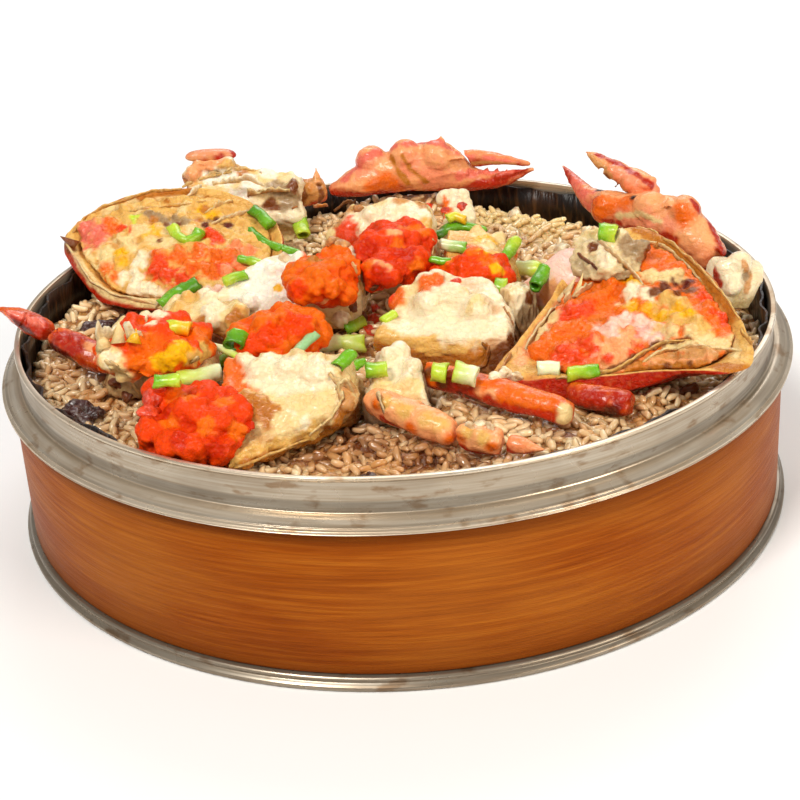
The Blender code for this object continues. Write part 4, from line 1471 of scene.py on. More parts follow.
@dataclass
class CrabBody:
    """The cut pieces of the body."""

    cuts: list[Cut] = field(default_factory=lambda: [
        Cut("chunk_centre", Tint.WHITE, Tint.GOLD, patches("""
            white 7 lump 6: 430,306 455,300 478,312
            orange 3.4 lump 3: 392,298 402,292 426,284 438,280
            cream 6: 385,318 470,300 400,290
            streak straw 4: 366,334 400,344 430,348 470,346
            streak gold 4: 365,342 385,352 420,362 450,366 480,360
            orange 4: 378,305 395,297 430,285
            roe 3: 371,322 384,299
            brown 3.5: 505,352 500,365 512,345
            white 6: 430,315 460,330 410,325 485,325 450,305
        """), stretch=(0.6, 1, 2)),
        Cut("chunk_front", Tint.CREAM, Tint.GOLD, patches("""
            white 5 lump 4.6: 262,372 290,370 316,376
            white 4 lump 3.4: 246,364 270,360 296,360 320,362
            cream 4 lump 3.2: 334,374 341,388 344,402 332,416
            straw 4 lump 2.6: 310,432 286,444 262,454 244,462
            gold 3 lump 2.6: 262,404 272,412 250,400
            white 5: 255,372 290,375 320,378
            orange 5: 230,382 238,392 226,372
            straw 3: 246,396 256,404
            gold 3.4: 250,402 262,412 274,420
            white 4: 285,388 300,384 296,420
            cream 4: 300,402 330,400 285,425
            streak gold 3: 350,405 340,424 310,444 280,456 250,466
            tan 3: 350,386 348,400
        """), fibre=0.5, stretch=(1, 1, 1.6)),
        Cut("chunk_middle", Tint.WHITE, Tint.BROWN, patches("""
            white 3.6 lump 3.4: 400,354 388,358 412,368 380,376 404,384
            cream 4: 385,385 410,390
            white 4: 390,360 400,372
        """)),
        Cut("chunk_left", Tint.WHITE, Tint.CREAM, patches("""
            cream 3.4 lump 2.8: 338,262 348,262 352,276
            white 4 lump 3.6: 250,300 262,316 300,262 275,272
            snow 9: 265,285 290,270 255,310 250,295 280,300 270,276
            yellow 1.6: 278,288
            gold 3.5: 235,322 218,325
            orange 5: 310,265 315,285
            white 3: 345,262
            cream 3: 352,280 357,290
        """)),
        Cut("chunk_left_low", Tint.CREAM, Tint.GOLD, patches("""
            white 3.2 lump 3: 204,291 212,299 218,306 209,313 211,322
            straw 3 lump 2.8: 188,298 180,306 232,322 240,312
            white 4: 210,305 215,295 150,318
            straw 4: 190,300 178,310
            gold 3: 235,318 200,325
        """)),
        Cut("chunk_front_left", Tint.CREAM, Tint.BROWN, patches("""
            cream 3.6 lump 3.2: 150,310 146,320 156,306 140,328
            white 3.2 lump 2.6: 104,350 112,362 108,340
            white 4: 145,320 110,355
            yellow 3: 105,335 118,330
            orange 5: 135,345 150,360
        """)),
        Cut("chunk_back", Tint.WHITE, Tint.STRAW, patches("""
            white 3.4 lump 3.2: 324,246 331,238 372,214 392,212
            roe 4.4 lump 4: 345,234 352,228 338,238 350,240
            tan 3: 345,200 330,212 400,198 425,205
            cream 4: 375,205 320,240
            yellow 2.5: 374,243 370,235
            straw 3.5: 428,225 425,250
            white 5: 370,225 385,215
        """)),
        Cut("chunk_back_right", Tint.STRAW, Tint.GOLD, patches("""
            cream 3 lump 2.6: 500,236 490,246 478,232
            orange 2.6 lump 2.4: 524,222 535,226 548,231 543,240
            orange 4: 470,250 450,245
            yellow 4: 485,240 490,262
            cream 3: 500,268 480,225
        """)),
        Cut("chunk_small", Tint.WHITE, Tint.CREAM, patches("""
            white 3 lump 3: 441,196 452,193 462,197
            orange 3: 443,202 425,208 446,212
            white 3: 452,192 432,195
        """)),
        Cut("arm_stub", Tint.WHITE, Tint.CREAM, patches("""
            white 5 lump 4.5: 728,272 738,265 732,285
            streak tan 1.1: 744,262 749,276 746,290
            grey 1.4: 745,276
            red 2.5: 714,275 718,285
        """), fibre=0.15),
        Cut("gills_back", Tint.WHITE, Tint.CREAM, patches("""
            peach 4 lump 4.5: 192,176 200,168 212,168 224,168
            straw 5: 200,190 232,172 255,170
            cream 5: 215,185 240,190 270,175
            gold 3: 225,204 240,172 186,184
            grey 5: 280,190 288,200
            brown 3: 272,205 292,185
            snow 4: 212,180 268,168 228,178 250,182 196,196 240,196
        """), lumps=2.0, stretch=(0.5, 1.6, 1.6)),
        Cut("gill_right", Tint.PALE, Tint.GREY, patches("""
            white 2.4 lump 2.2: 566,216 575,221 585,227 595,232 602,250 608,260
            pale 3 lump 3.2: 578,240 590,246 584,232 624,240 640,246
            pale 4: 600,230 640,232 620,236
            grey 4: 640,250 655,244 646,262 628,246
            white 2.5: 604,253 610,260 600,248
            cream 3: 590,226 576,222 630,234
            brown 2: 594,248 664,262 672,256
        """), lumps=1.2, fibre=0.8),
    ])

    def build(self) -> None:
        """Makes each piece."""
        finish = Food("crab_flesh", rough=0.32, wet=0.6, glow=0.25, reach=0.002, mottle=0.22,
                      speck=0.0013, depth=0.00035, vein=0.14, glint_colour=(1.0, 0.90, 0.60),
                      shine=0.36).material()
        slots = {"gill_right": "gill"}
        for seed, cut in enumerate(self.cuts):
            form = Form.of_nodes("flesh_" + cut.node, cut.node)
            form.fused(cut.strokes, []).voxelled(cut.grain, 3)
            form.relief(Relief.SOFT, 9.0, 2.4 * cut.lumps, seed)
            form.relief(Relief.RIDGES, 4.5, 0.28 * cut.lumps, seed + 20, cut.stretch)
            form.relief(Relief.SOFT, 1.6, cut.fibre * 1.1, seed + 40, cut.stretch)
            form.paint(cut.base, cut.foot, cut.strokes, seed)
            form.shown(finish, slots.get(cut.node, "flesh"), cut.node)


@dataclass
class RoeHeaps:
    """The heaps of roe: round lobes of several sizes."""

    heaps: list[Cut] = field(default_factory=lambda: [
        Cut("roe_front_left", Tint.ROE, Tint.BLOOD, patches("""
            roe 5 lump 4.6: 162,392 152,384 146,374
            orange 3: 190,395 225,400 170,425 205,425 238,430 175,398
            blood 3: 180,440 215,450 160,415
        """)),
        Cut("roe_upper_left", Tint.ROE, Tint.ORANGE, patches("""
            cream 4 lump 2.4: 101,346 107,356 114,366 122,376
            white 2.6: 104,350 112,360 150,322 158,314
            orange 5: 150,345 205,335 140,360
            yellow 4: 172,355 165,362 185,352
            straw 3: 195,358 205,352
            brown 2: 203,362
        """)),
        Cut("roe_left", Tint.ORANGE, Tint.ROE, patches("""
            roe 4: 310,305 325,312 295,290
            peach 2: 325,300
            gold 3: 315,258
        """)),
        Cut("roe_middle", Tint.ORANGE, Tint.ROE, patches("roe 5: 255,345 270,335 300,322")),
        Cut("roe_back", Tint.ROE, Tint.BLOOD, patches("""
            orange 3: 410,215 420,230 385,290 372,262 398,246 416,262
            peach 2.5: 395,230 380,262 385,268
            blood 4: 370,250 380,275 405,255
        """)),
        Cut("roe_back_right", Tint.ROE, Tint.ORANGE, patches("""
            orange 4: 450,255 490,262 470,245
            yellow 3: 485,250 495,268
            peach 1.6: 450,257
            roe 4: 470,268 460,262
        """)),
    ])

    def build(self) -> None:
        """Makes each heap."""
        finish = Food("crab_roe", rough=0.34, wet=0.10, glow=0.22, reach=0.0015, mottle=0.30,
                      speck=0.0012, depth=0.00040, vein=0.10, glint_colour=(1.0, 0.30, 0.01),
                      shine=0.12).material()
        for seed, heap in enumerate(self.heaps):
            form = Form.of_nodes("lobes_" + heap.node, heap.node)
            form.fused(heap.strokes, []).voxelled(0.6, 2)
            form.relief(Relief.LOBES, 8.5, 2.0, seed)
            form.relief(Relief.LOBES, 3.8, 0.85, seed + 30)
            form.modified("SMOOTH", factor=0.5, iterations=3)
            form.relief(Relief.SOFT, 1.6, 0.45, seed + 60)
            form.paint(heap.base, heap.foot, heap.strokes, seed, rise=0.008)
            form.shown(finish, "roe", heap.node)


@dataclass
class UpturnedShells:
    """The two upturned shells and what fills them."""

    def build(self) -> None:
        """Makes both shells and both fillings."""
        shell = Food("cooked_shell", rough=0.34, wet=0.15, glow=0.08, reach=0.0010, mottle=0.45,
                     speck=0.0014, depth=0.00050, vein=0.30, glint_colour=(1.0, 0.50, 0.14),
                     shine=0.20).material()
        filling = Food("shell_filling", rough=0.32, wet=0.3, glow=0.22, reach=0.0015,
                       mottle=0.36, speck=0.0013, depth=0.00045, vein=0.12,
                       glint_colour=(1.0, 0.62, 0.20), shine=0.25).material()
        left = Form.of_nodes("shell_of_left", "shell_left").softened(3)
        left.tugged((96, 294), Vector((-0.0010, -0.0014, -0.0030)), 0.045, lower=True)
        left.relief(Relief.SOFT, 7.0, 0.6, 3).relief(Relief.RIDGES, 3.0, 0.12, 4)
        left.paint(Tint.STRAW, Tint.RED, patches("""
            streak red 2.4: 60,258 72,278 86,294 102,305 125,312 155,316
            streak straw 3: 80,232 100,214 130,203 165,196 200,196 240,206
            cream 4: 112,212 130,206 152,202 176,203 198,205 220,212
            gold 1.8: 122,201 142,197 160,210 187,198 207,200 230,209
            grey 1.4: 134,213 168,213 190,215
            white 2: 148,206 182,208 208,212
            streak gold 1.6: 140,196 165,192 190,190
            streak cream 1.8: 70,242 80,262 92,282 110,294 135,301 160,304
            brown 2.2: 64,238 66,243
        """), rise=0.02, edge=0.25, under=Tint.RED)
        left.shown(shell, "red_shell", "shell_left")
        right = Form.of_nodes("shell_of_right", "shell_right").softened(3)
        right.tugged((566, 380), Vector((0.0, -0.0020, -0.0050)), 0.034, lower=True)
        right.relief(Relief.SOFT, 7.0, 0.5, 5).relief(Relief.RIDGES, 3.0, 0.12, 6)
        right.paint(Tint.STRAW, Tint.RED, patches("""
            streak gold 3: 640,228 670,242 700,268 724,296 744,326
            streak cream 4: 690,340 720,345 740,350
            streak straw 3: 740,325 750,345 752,365
            streak gold 2.2: 660,362 690,362 720,366 748,370
            streak red 3.2: 505,388 540,392 572,394 610,389 650,384 700,381 740,379
            streak peach 2: 520,362 540,330 560,306 580,285
        """), rise=0.02, edge=0.3, under=Tint.RED)
        right.shown(shell, "red_shell", "shell_right")
        self.fill("filling_left", 3, filling, patches("""
            rose 5 lump 4: 88,230 95,238 97,228
            orange 3 lump 2.6: 112,222 115,228 106,266 112,277
            roe 2 lump 1.8: 122,229 131,230
            cream 4 lump 2.6: 122,240 130,245 110,248 105,256
            lime 2.4: 133,216
            straw 4 lump 3: 150,205 170,203 190,206 125,212
            yellow 2.6: 150,228 160,234 145,236 212,214 205,210
            cream 3: 170,232 150,240 140,228 165,242
            grey 2.2 lump 1.6: 150,214 158,216 166,221 176,218 184,221
            brown 1: 165,224 178,225 160,240
            yellow 2.6 lump 2.4: 120,254 122,260
            orange 5 lump 3.6: 160,258 178,256 200,254 216,258 230,256
            orange 4 lump 3: 205,270 190,268 215,272
            roe 4 lump 3.4: 155,272 168,278 182,276 158,264
            roe 3 lump 2.4: 217,238 210,234 225,268 236,266
            coral 3 lump 2.4: 236,246 248,250 230,272 243,262
            maroon 2.2: 206,223 216,222 226,224
            white 2.6 lump 2.4: 142,256 140,264 133,272 124,276 137,277
            white 3 lump 2.8: 134,288 145,288 154,290
            blush 2 lump 1.6: 208,290 220,290
            streak cream 1.2: 76,240 88,262 96,280 116,292 140,299
            cream 2.4: 140,208 182,208 192,228 172,240
            gold 1.6: 166,200 206,208 198,220 152,222
        """), Tint.STRAW)
        self.fill("filling_right", 8, filling, patches("""
            orange 5 lump 4: 600,300 612,288 590,306 575,312
            roe 4 lump 3: 562,318 572,316 584,312
            orange 5 lump 3.6: 548,345 560,335 575,330 560,356 540,352
            roe 4 lump 3: 588,344 596,340 575,358 565,352 600,350
            peach 5 lump 3.4: 620,345 632,336 610,362 625,356 612,334
            roe 2 lump 1.6: 604,332 642,332 634,354 640,346 606,358
            blush 4 lump 2.6: 625,320 640,322 655,328 610,324
            yellow 3 lump 2.4: 628,274 636,280 648,308 632,304 665,316
            straw 4 lump 3: 680,306 668,300 690,318 700,325 676,322
            yellow 2: 678,310 690,310 660,318
            white 3 lump 3: 636,288 646,292 630,296
            cream 3 lump 2.8: 650,276 664,278 676,276 690,334 672,332
            maroon 2.2: 664,286 676,286 688,284
            brown 2: 676,292 690,290 656,290
            roe 3 lump 2.2: 700,297 714,312 722,318
            orange 3 lump 2.2: 706,306 730,322 736,332
            cream 3: 535,330 528,345 540,315 522,356
            streak cream 2.6: 672,346 700,344 735,346
            streak tan 2.6: 655,358 680,358 705,356 735,358
            streak peach 1.6: 650,362 690,360 730,362
            streak gold 2.2: 630,372 660,368 700,366 735,368
            brown 1.3: 668,366 690,363 712,362 700,369 726,367 650,370
            streak brown 1: 600,374 622,366 642,352 664,343 690,338
        """), Tint.ORANGE)

    @staticmethod
    def fill(node: str, seed: int, finish: bpy.types.Material, strokes: list[Dab],
             base: Tint) -> None:
        """Makes one filling.

        Args:
            node: Its node.
            seed: What sets its relief apart.
            finish: Its material.
            strokes: Its patches of colour.
            base: Its own colour.
        """
        form = Form.of_nodes("lumps_" + node, node).fused(strokes, [], 0.5).voxelled(0.65, 4)
        up = np.clip(form.normals()[:, 2] * 2.0, 0, 1)
        form.relief(Relief.LOBES, 6.0, 0.6, seed, where=up)
        form.relief(Relief.SOFT, 3.2, 1.1, seed + 9, where=up)
        form.relief(Relief.SOFT, 1.2, 0.45, seed + 20)
        form.paint(base, Tint.GOLD, strokes, seed, rise=0.006, edge=1.0, blur=0.9)
        form.shown(finish, "roe", node)


@dataclass
class Limbs:
    """The claws and the legs."""

    claws: dict[str, list[Dab]] = field(default_factory=lambda: {
        "claw_back_palm": patches("""
            coral 5 lump 6.5: 372,162 405,156 436,156
            peach 7: 360,180 420,180 448,178 380,165 405,160 432,164
            orange 3.6: 385,178 395,186 372,186
            pink 5: 410,165 428,172 440,182 365,166
            streak gold 1: 392,158 398,172 408,184
            streak gold 0.9: 402,156 412,170 426,182
            streak rose 1.6: 345,180 356,166 372,152 400,144 440,142 456,152
            streak red 1.8: 335,194 370,195 410,193
            streak red 2.2: 450,192 480,186 505,178 525,170
            streak rose 1.6: 460,176 485,172 510,170
        """),
        "claw_back_finger": patches("""
            rose 3: 470,155 490,156 505,160
            streak coral 1.4: 460,152 485,152 515,158
            streak tan 1: 465,163 490,163 515,165
        """),
        "claw_back_wrist": patches("""
            gold 4 lump 3: 310,190 300,185
            tan 4: 305,198 318,190
            streak brown 1.2: 300,182 304,194 300,206
            streak brown 1: 318,184 322,196 318,206
        """),
        "claw_right_palm": patches("""
            coral 4 lump 6: 608,208 650,208 684,212
            rose 4: 575,180 582,192 570,170 590,205
            streak red 1.6: 564,170 572,190 584,208 594,218
            orange 3.6: 605,205 618,208 600,214 628,205
            peach 5: 640,215 660,215 655,205 690,235
            pink 4: 625,222 650,222 668,230
            orange 3: 680,210 686,220 672,240
            streak red 1.5: 694,202 708,220 718,240 724,254
            streak red 1.2: 604,226 640,230 676,238
            streak cream 1: 618,216 640,214 660,222
            dark 1.3: 634,197 600,190
        """),
        "claw_right_finger": patches("""
            coral 3 lump 3.6: 640,190 650,192 630,182
            coral 3 lump 3: 620,176 612,172
            pink 3: 635,180 650,190 620,170
            streak tan 1.5: 586,154 600,168 614,182 628,194
            streak red 1.1: 596,154 612,160 630,170 652,186
            brown 1: 606,176 616,185
        """),
    })
    legs: dict[str, list[Dab]] = field(default_factory=lambda: {
        "leg_front_upper": patches("""
            peach 3 lump 3.4: 384,402 395,412 446,434
            peach 4: 400,414 415,418 430,424 442,430
            streak red 1.2: 376,424 395,440 420,449 445,453
            orange 2: 375,405 450,440 410,428
            straw 2.4: 388,402 404,410 424,418 440,424
        """),
        "leg_front_middle": patches("""
            peach 4 lump 2.6: 465,432 480,436 495,442
            streak red 1.5: 456,452 476,456 500,458
            straw 2: 466,432 484,438
            orange 1.8: 460,438 492,448
        """),
        "leg_front_tip": patches("""
            coral 3: 505,440 515,444
            streak red 1.2: 500,452 520,457 538,458
            cream 1.2: 540,456
        """),
        "leg_middle": patches("""
            streak orange 2: 430,380 470,390 510,398 550,406
            peach 1.6: 465,390 478,393 490,395
            streak blood 1.8: 440,394 480,404 520,412 552,418
            streak red 3: 440,402 480,412 520,422 550,426
            cream 2.5: 565,412 564,420
            brown 1.6: 430,372 436,392
            streak maroon 1: 450,408 490,420 530,428
        """),
        "leg_stub": patches("""
            red 5: 600,405 580,400 620,398
            maroon 3: 590,412 612,412
        """),
        "leg_left_upper": patches("""
            red 5: 60,338 78,348 70,340
            streak peach 1.6: 88,346 100,352 108,360
            streak maroon 1.4: 50,345 75,362 95,376
        """),
        "leg_left_lower": patches("""
            red 4: 30,322 15,315 42,328
            streak rose 1.2: 10,311 25,316 40,322
            streak maroon 1.2: 15,322 32,334
        """),
    })
    horns: dict[str, list[Spike]] = field(default_factory=lambda: {
        "claw_back_palm": [
            Spike((440, 148), (441, 134), 8.0, Tint.CORAL),
            Spike((372, 160), (371, 150), 9.0, Tint.CORAL),
            Spike((455, 158), (454, 147), 8.0, Tint.CORAL),
            Spike((500, 176), (532, 167), 4.0, Tint.RED),
            *[Spike((x, y + 5), (x + 2, y), 2.4, Tint.PALE)
              for x, y in ((466, 168), (476, 167), (486, 167), (496, 167), (506, 167), (514, 167))],
        ],
        "claw_back_wrist": Spike.table("4 brown: 317,182 316,168"),
        "claw_right_palm": Spike.table("""
            8 coral: 690,206 691,195
            7 coral: 670,205 668,196
            4 brown: 606,202 600,188
            5 coral: 720,250 726,248
        """),
        "claw_right_finger": [
            Spike((600, 164), (584, 151), 4.4, Tint.PALE),
            *[Spike((x + 5, y - 3), (x, y + 1), 2.4, Tint.PALE)
              for x, y in ((600, 174), (607, 181), (614, 187), (620, 192))],
        ],
        "leg_left_lower": [
            Spike((20, 318), (4, 310), 6.0, Tint.RED),
            *[Spike((x, y + 7), (x - 3, y), 2.6, Tint.RED)
              for x, y in ((20, 312), (30, 314), (40, 317))],
        ],
        "leg_left_upper": [
            Spike((x, y + 8), (x - 4, y), 3.0, Tint.RED)
            for x, y in ((50, 324), (60, 327), (72, 331), (84, 336))
        ],
    })

    def build(self) -> None:
        """Makes each limb."""
        finish = Food("claw_shell", rough=0.30, wet=0.45, glow=0.10, reach=0.0015, mottle=0.30,
                      speck=0.0014, depth=0.00025, vein=0.20, glint_colour=(1.0, 0.55, 0.20),
                      shine=0.35).material()
        for seed, (node, marks) in enumerate({**self.claws, **self.legs}.items()):
            claw = node in self.claws
            form = Form.of_nodes("limb_" + node, node).softened(2)
            form.fused(marks, self.horns.get(node, []), 0.55).voxelled(0.5, 4)
            form.relief(Relief.SOFT, 8.0, 0.7 if claw else 0.6, seed)
            form.relief(Relief.RIDGES, 4.0, 0.22, seed + 20, (0.4, 1.2, 1.2))
            form.relief(Relief.SOFT, 1.4, 0.12, seed + 40)
            front = "front" in node
            base = Tint.PEACH if claw or front else Tint.ORANGE
            form.paint(base, Tint.CORAL if front else Tint.RED, marks, seed, rise=0.012,
                       edge=0.4 if front else 0.8, blur=1.1)
            form.shown(finish, "red_shell", node)


@dataclass
class Oddments:
    """The clam, the plate of shell, the chip of shell and the mushroom slices."""

    def build(self) -> None:
        """Makes each piece."""
        pale = Food("pale_shell", rough=0.30).material()
        dark = Food("wet_mushroom", rough=0.32, wet=0.7, glow=0.0, mottle=0.5).material()
        plate = Form.of_nodes("pink_plate", "shell_plate").voxelled(0.5, 4)
        plate.tugged((568, 254), Vector((0.0095, -0.0190, 0.0060)), 0.024)
        plate.relief(Relief.SOFT, 9.0, 1.0, 1)
        plate.paint(Tint.BLUSH, Tint.BLUSH, patches("""
            peach 4: 556,288 550,298
            blush 5: 568,270 575,285 560,262
            pink 3: 584,264 590,272
            cream 2.5: 545,312 538,320
        """))
        plate.shown(pale, "pale_shell", "shell_plate")
        clam = Form.of_nodes("grey_clam", "clam").voxelled(0.5, 5)
        clam.relief(Relief.RIDGES, 1.6, 0.35, 2, (1, 1, 0.3))
        clam.paint(Tint.PALE, Tint.BROWN, patches("""
            white 3: 522,300 515,310
            grey 3: 512,318 525,315
            brown 2: 502,310 530,298 518,330
        """), rise=0.006)
        clam.shown(pale, "pale_shell", "clam")
        chip = Form.of_nodes("red_chip", "shell_chip").softened(2)
        chip.paint(Tint.PINK, Tint.TAN, patches("red 2.5: 205,162 220,160 235,160"))
        chip.shown(pale, "red_shell", "shell_chip")
        for k in (1, 2, 3):
            slice_ = Form.of_nodes(f"dark_slice_{k}", f"mushroom_{k}").voxelled(0.5, 3)
            places = slice_.places()
            foot = places.min(0)
            low = places[:, 2] - foot[2]
            slice_.move(np.stack([0 * low, 0 * low, -0.45 * low], 1))
            slice_.relief(Relief.SOFT, 5.0, 2.2, k).relief(Relief.RIDGES, 2.4, 0.5, k + 3)
            slice_.paint(Tint.PLUM, Tint.DARK, []).shown(dark, "mushroom", f"mushroom_{k}")


# Spring onion


@dataclass(frozen=True)
class Onion:
    """A cut length of spring onion."""

    node: str
    width: float
    tints: tuple[Tint, Tint]
    line: tuple[Pixel, ...]
    hollow: float = 0.68

    @classmethod
    def table(cls, rows: str) -> list["Onion"]:
        """Reads pieces of spring onion.

        Args:
            rows: For each, its node or the word small, its width in millimetres, its tints at both
                ends, its bore as a share if that is unusual, and its line.

        Returns:
            The pieces.
        """
        return [cls("" if words[0] == "small" else words[0], float(words[1]),
                    (Tint.named(words[2]), Tint.named(words[3])), line,
                    float(words[4]) if words[4:] else cls.hollow)
                for words, line in rows_of(rows)]

    def part(self, ground: BVHTree, seed: int) -> tuple[np.ndarray, list, np.ndarray]:
        """Makes the piece.

        Args:
            ground: A search tree over the food.
            seed: What sets its ends and tints apart.

        Returns:
            Its vertices, faces and colours.
        """
        radius = self.width * MM / 2
        way = traced(ground, self.line, 0.0007, radius * 1.2, level=True)
        places, links, share = tube(way, radius, self.hollow)
        wander = pattern(Relief.SOFT, places, 0.0030, seed)
        middle = places.mean(0)
        squash = np.array([1.0, 1.0, 0.86])
        places = middle + (places - middle) * squash * (1 + 0.26 * wander)[:, None]
        uneven = 0.35 * pattern(Relief.SOFT, places, 0.0022, seed + 7)
        share = np.clip(share + uneven, 0, 1)[:, None]
        first, last = (tint.rgb() for tint in self.tints)
        return places.astype(np.float32), links, first * (1 - share) + last * share


@dataclass
class SpringOnions:
    """The chopped spring onion."""

    pieces: list[Onion] = field(default_factory=lambda: Onion.table("""
        onion_01 4.2 lime leaf_green: 173,226 177,236 186,242 196,238 199,230
        onion_02 3.6 deep_green leaf_green: 240,218 252,232 266,244 284,250 301,256
        onion_03 3.8 leaf_green lime: 239,258 254,262 270,268
        onion_04 5.6 leaf_green deep_green: 163,306 172,298 184,290 198,283
        onion_05 6.6 deep_green leaf_green 0.76: 233,346 237,333
        onion_06 6 lime milk 0.5: 179,380 200,377 221,372
        onion_07 6.4 milk lime 0.5: 318,343 340,343 363,343
        onion_08 5.4 leaf_green lime: 366,370 376,370 387,369
        onion_09 6.4 lime lime 0.4: 432,371 440,372 447,373
        onion_10 3.8 deep_green leaf_green: 436,237 446,229 458,226 470,227 485,233
        onion_11 4.6 leaf_green lime: 504,260 510,250 517,238
        onion_12 6.6 milk lime 0.55: 508,266 524,268 540,271
        onion_13 7 leaf_green lime: 599,233 607,233 616,234
        onion_14 5 lime leaf_green: 568,374 583,372 599,371
        small 4.8 deep_green leaf_green: 252,208 262,216 271,226
        small 5.6 leaf_green lime: 299,217 301,227 303,236
        small 3.8 lime leaf_green: 224,282 235,277 246,274
        small 5.4 lime yellow 0.3: 167,329 178,327 190,329
        small 4.4 leaf_green lime 0.4: 154,381 166,381 179,380
        small 2.6 milk lime 0.5: 212,346 225,349 240,358
        small 3.6 leaf_green lime 0.5: 217,366 222,360 230,356
        small 3.4 mist mist 0.5: 297,353 305,343 315,333
        small 4.4 leaf_green leaf_green: 338,367 345,360 351,353
        small 3.6 leaf_green leaf_green: 352,370 358,364 366,362
        small 7 lime milk 0.6: 455,372 465,374 477,377
        small 3.8 lime yellow 0.4: 447,219 455,216 466,220
        small 4.6 milk leaf_green 0.6: 440,244 452,246 466,248
        small 3 leaf_green leaf_green: 430,259 440,261 450,262
        small 5 deep_green leaf_green: 534,287 540,278 546,268
        small 6.2 leaf_green lime 0.5: 494,286 500,287 507,287
        small 5.2 milk milk 0.5: 537,368 548,368 560,369
        small 4.6 leaf_green lime 0.5: 346,329 354,326 364,321
        small 3.2 lime lime 0: 382,322 388,318 394,313
    """))

    def build(self, ground: BVHTree) -> None:
        """Makes each piece.

        Args:
            ground: A search tree over the food.
        """
        finish = Food("spring_onion", rough=0.30, wet=0.6, glow=0.25, reach=0.002, mottle=0.18,
                      speck=0.0012, depth=0.00012).material()
        loose = []
        for seed, piece in enumerate(self.pieces):
            part = piece.part(ground, seed)
            if piece.node:
                joined("cut_" + piece.node, [part]).shown(finish, "onion", piece.node)
            else:
                loose.append(part)
        joined("small_cut_onion", loose).shown(finish, "onion")


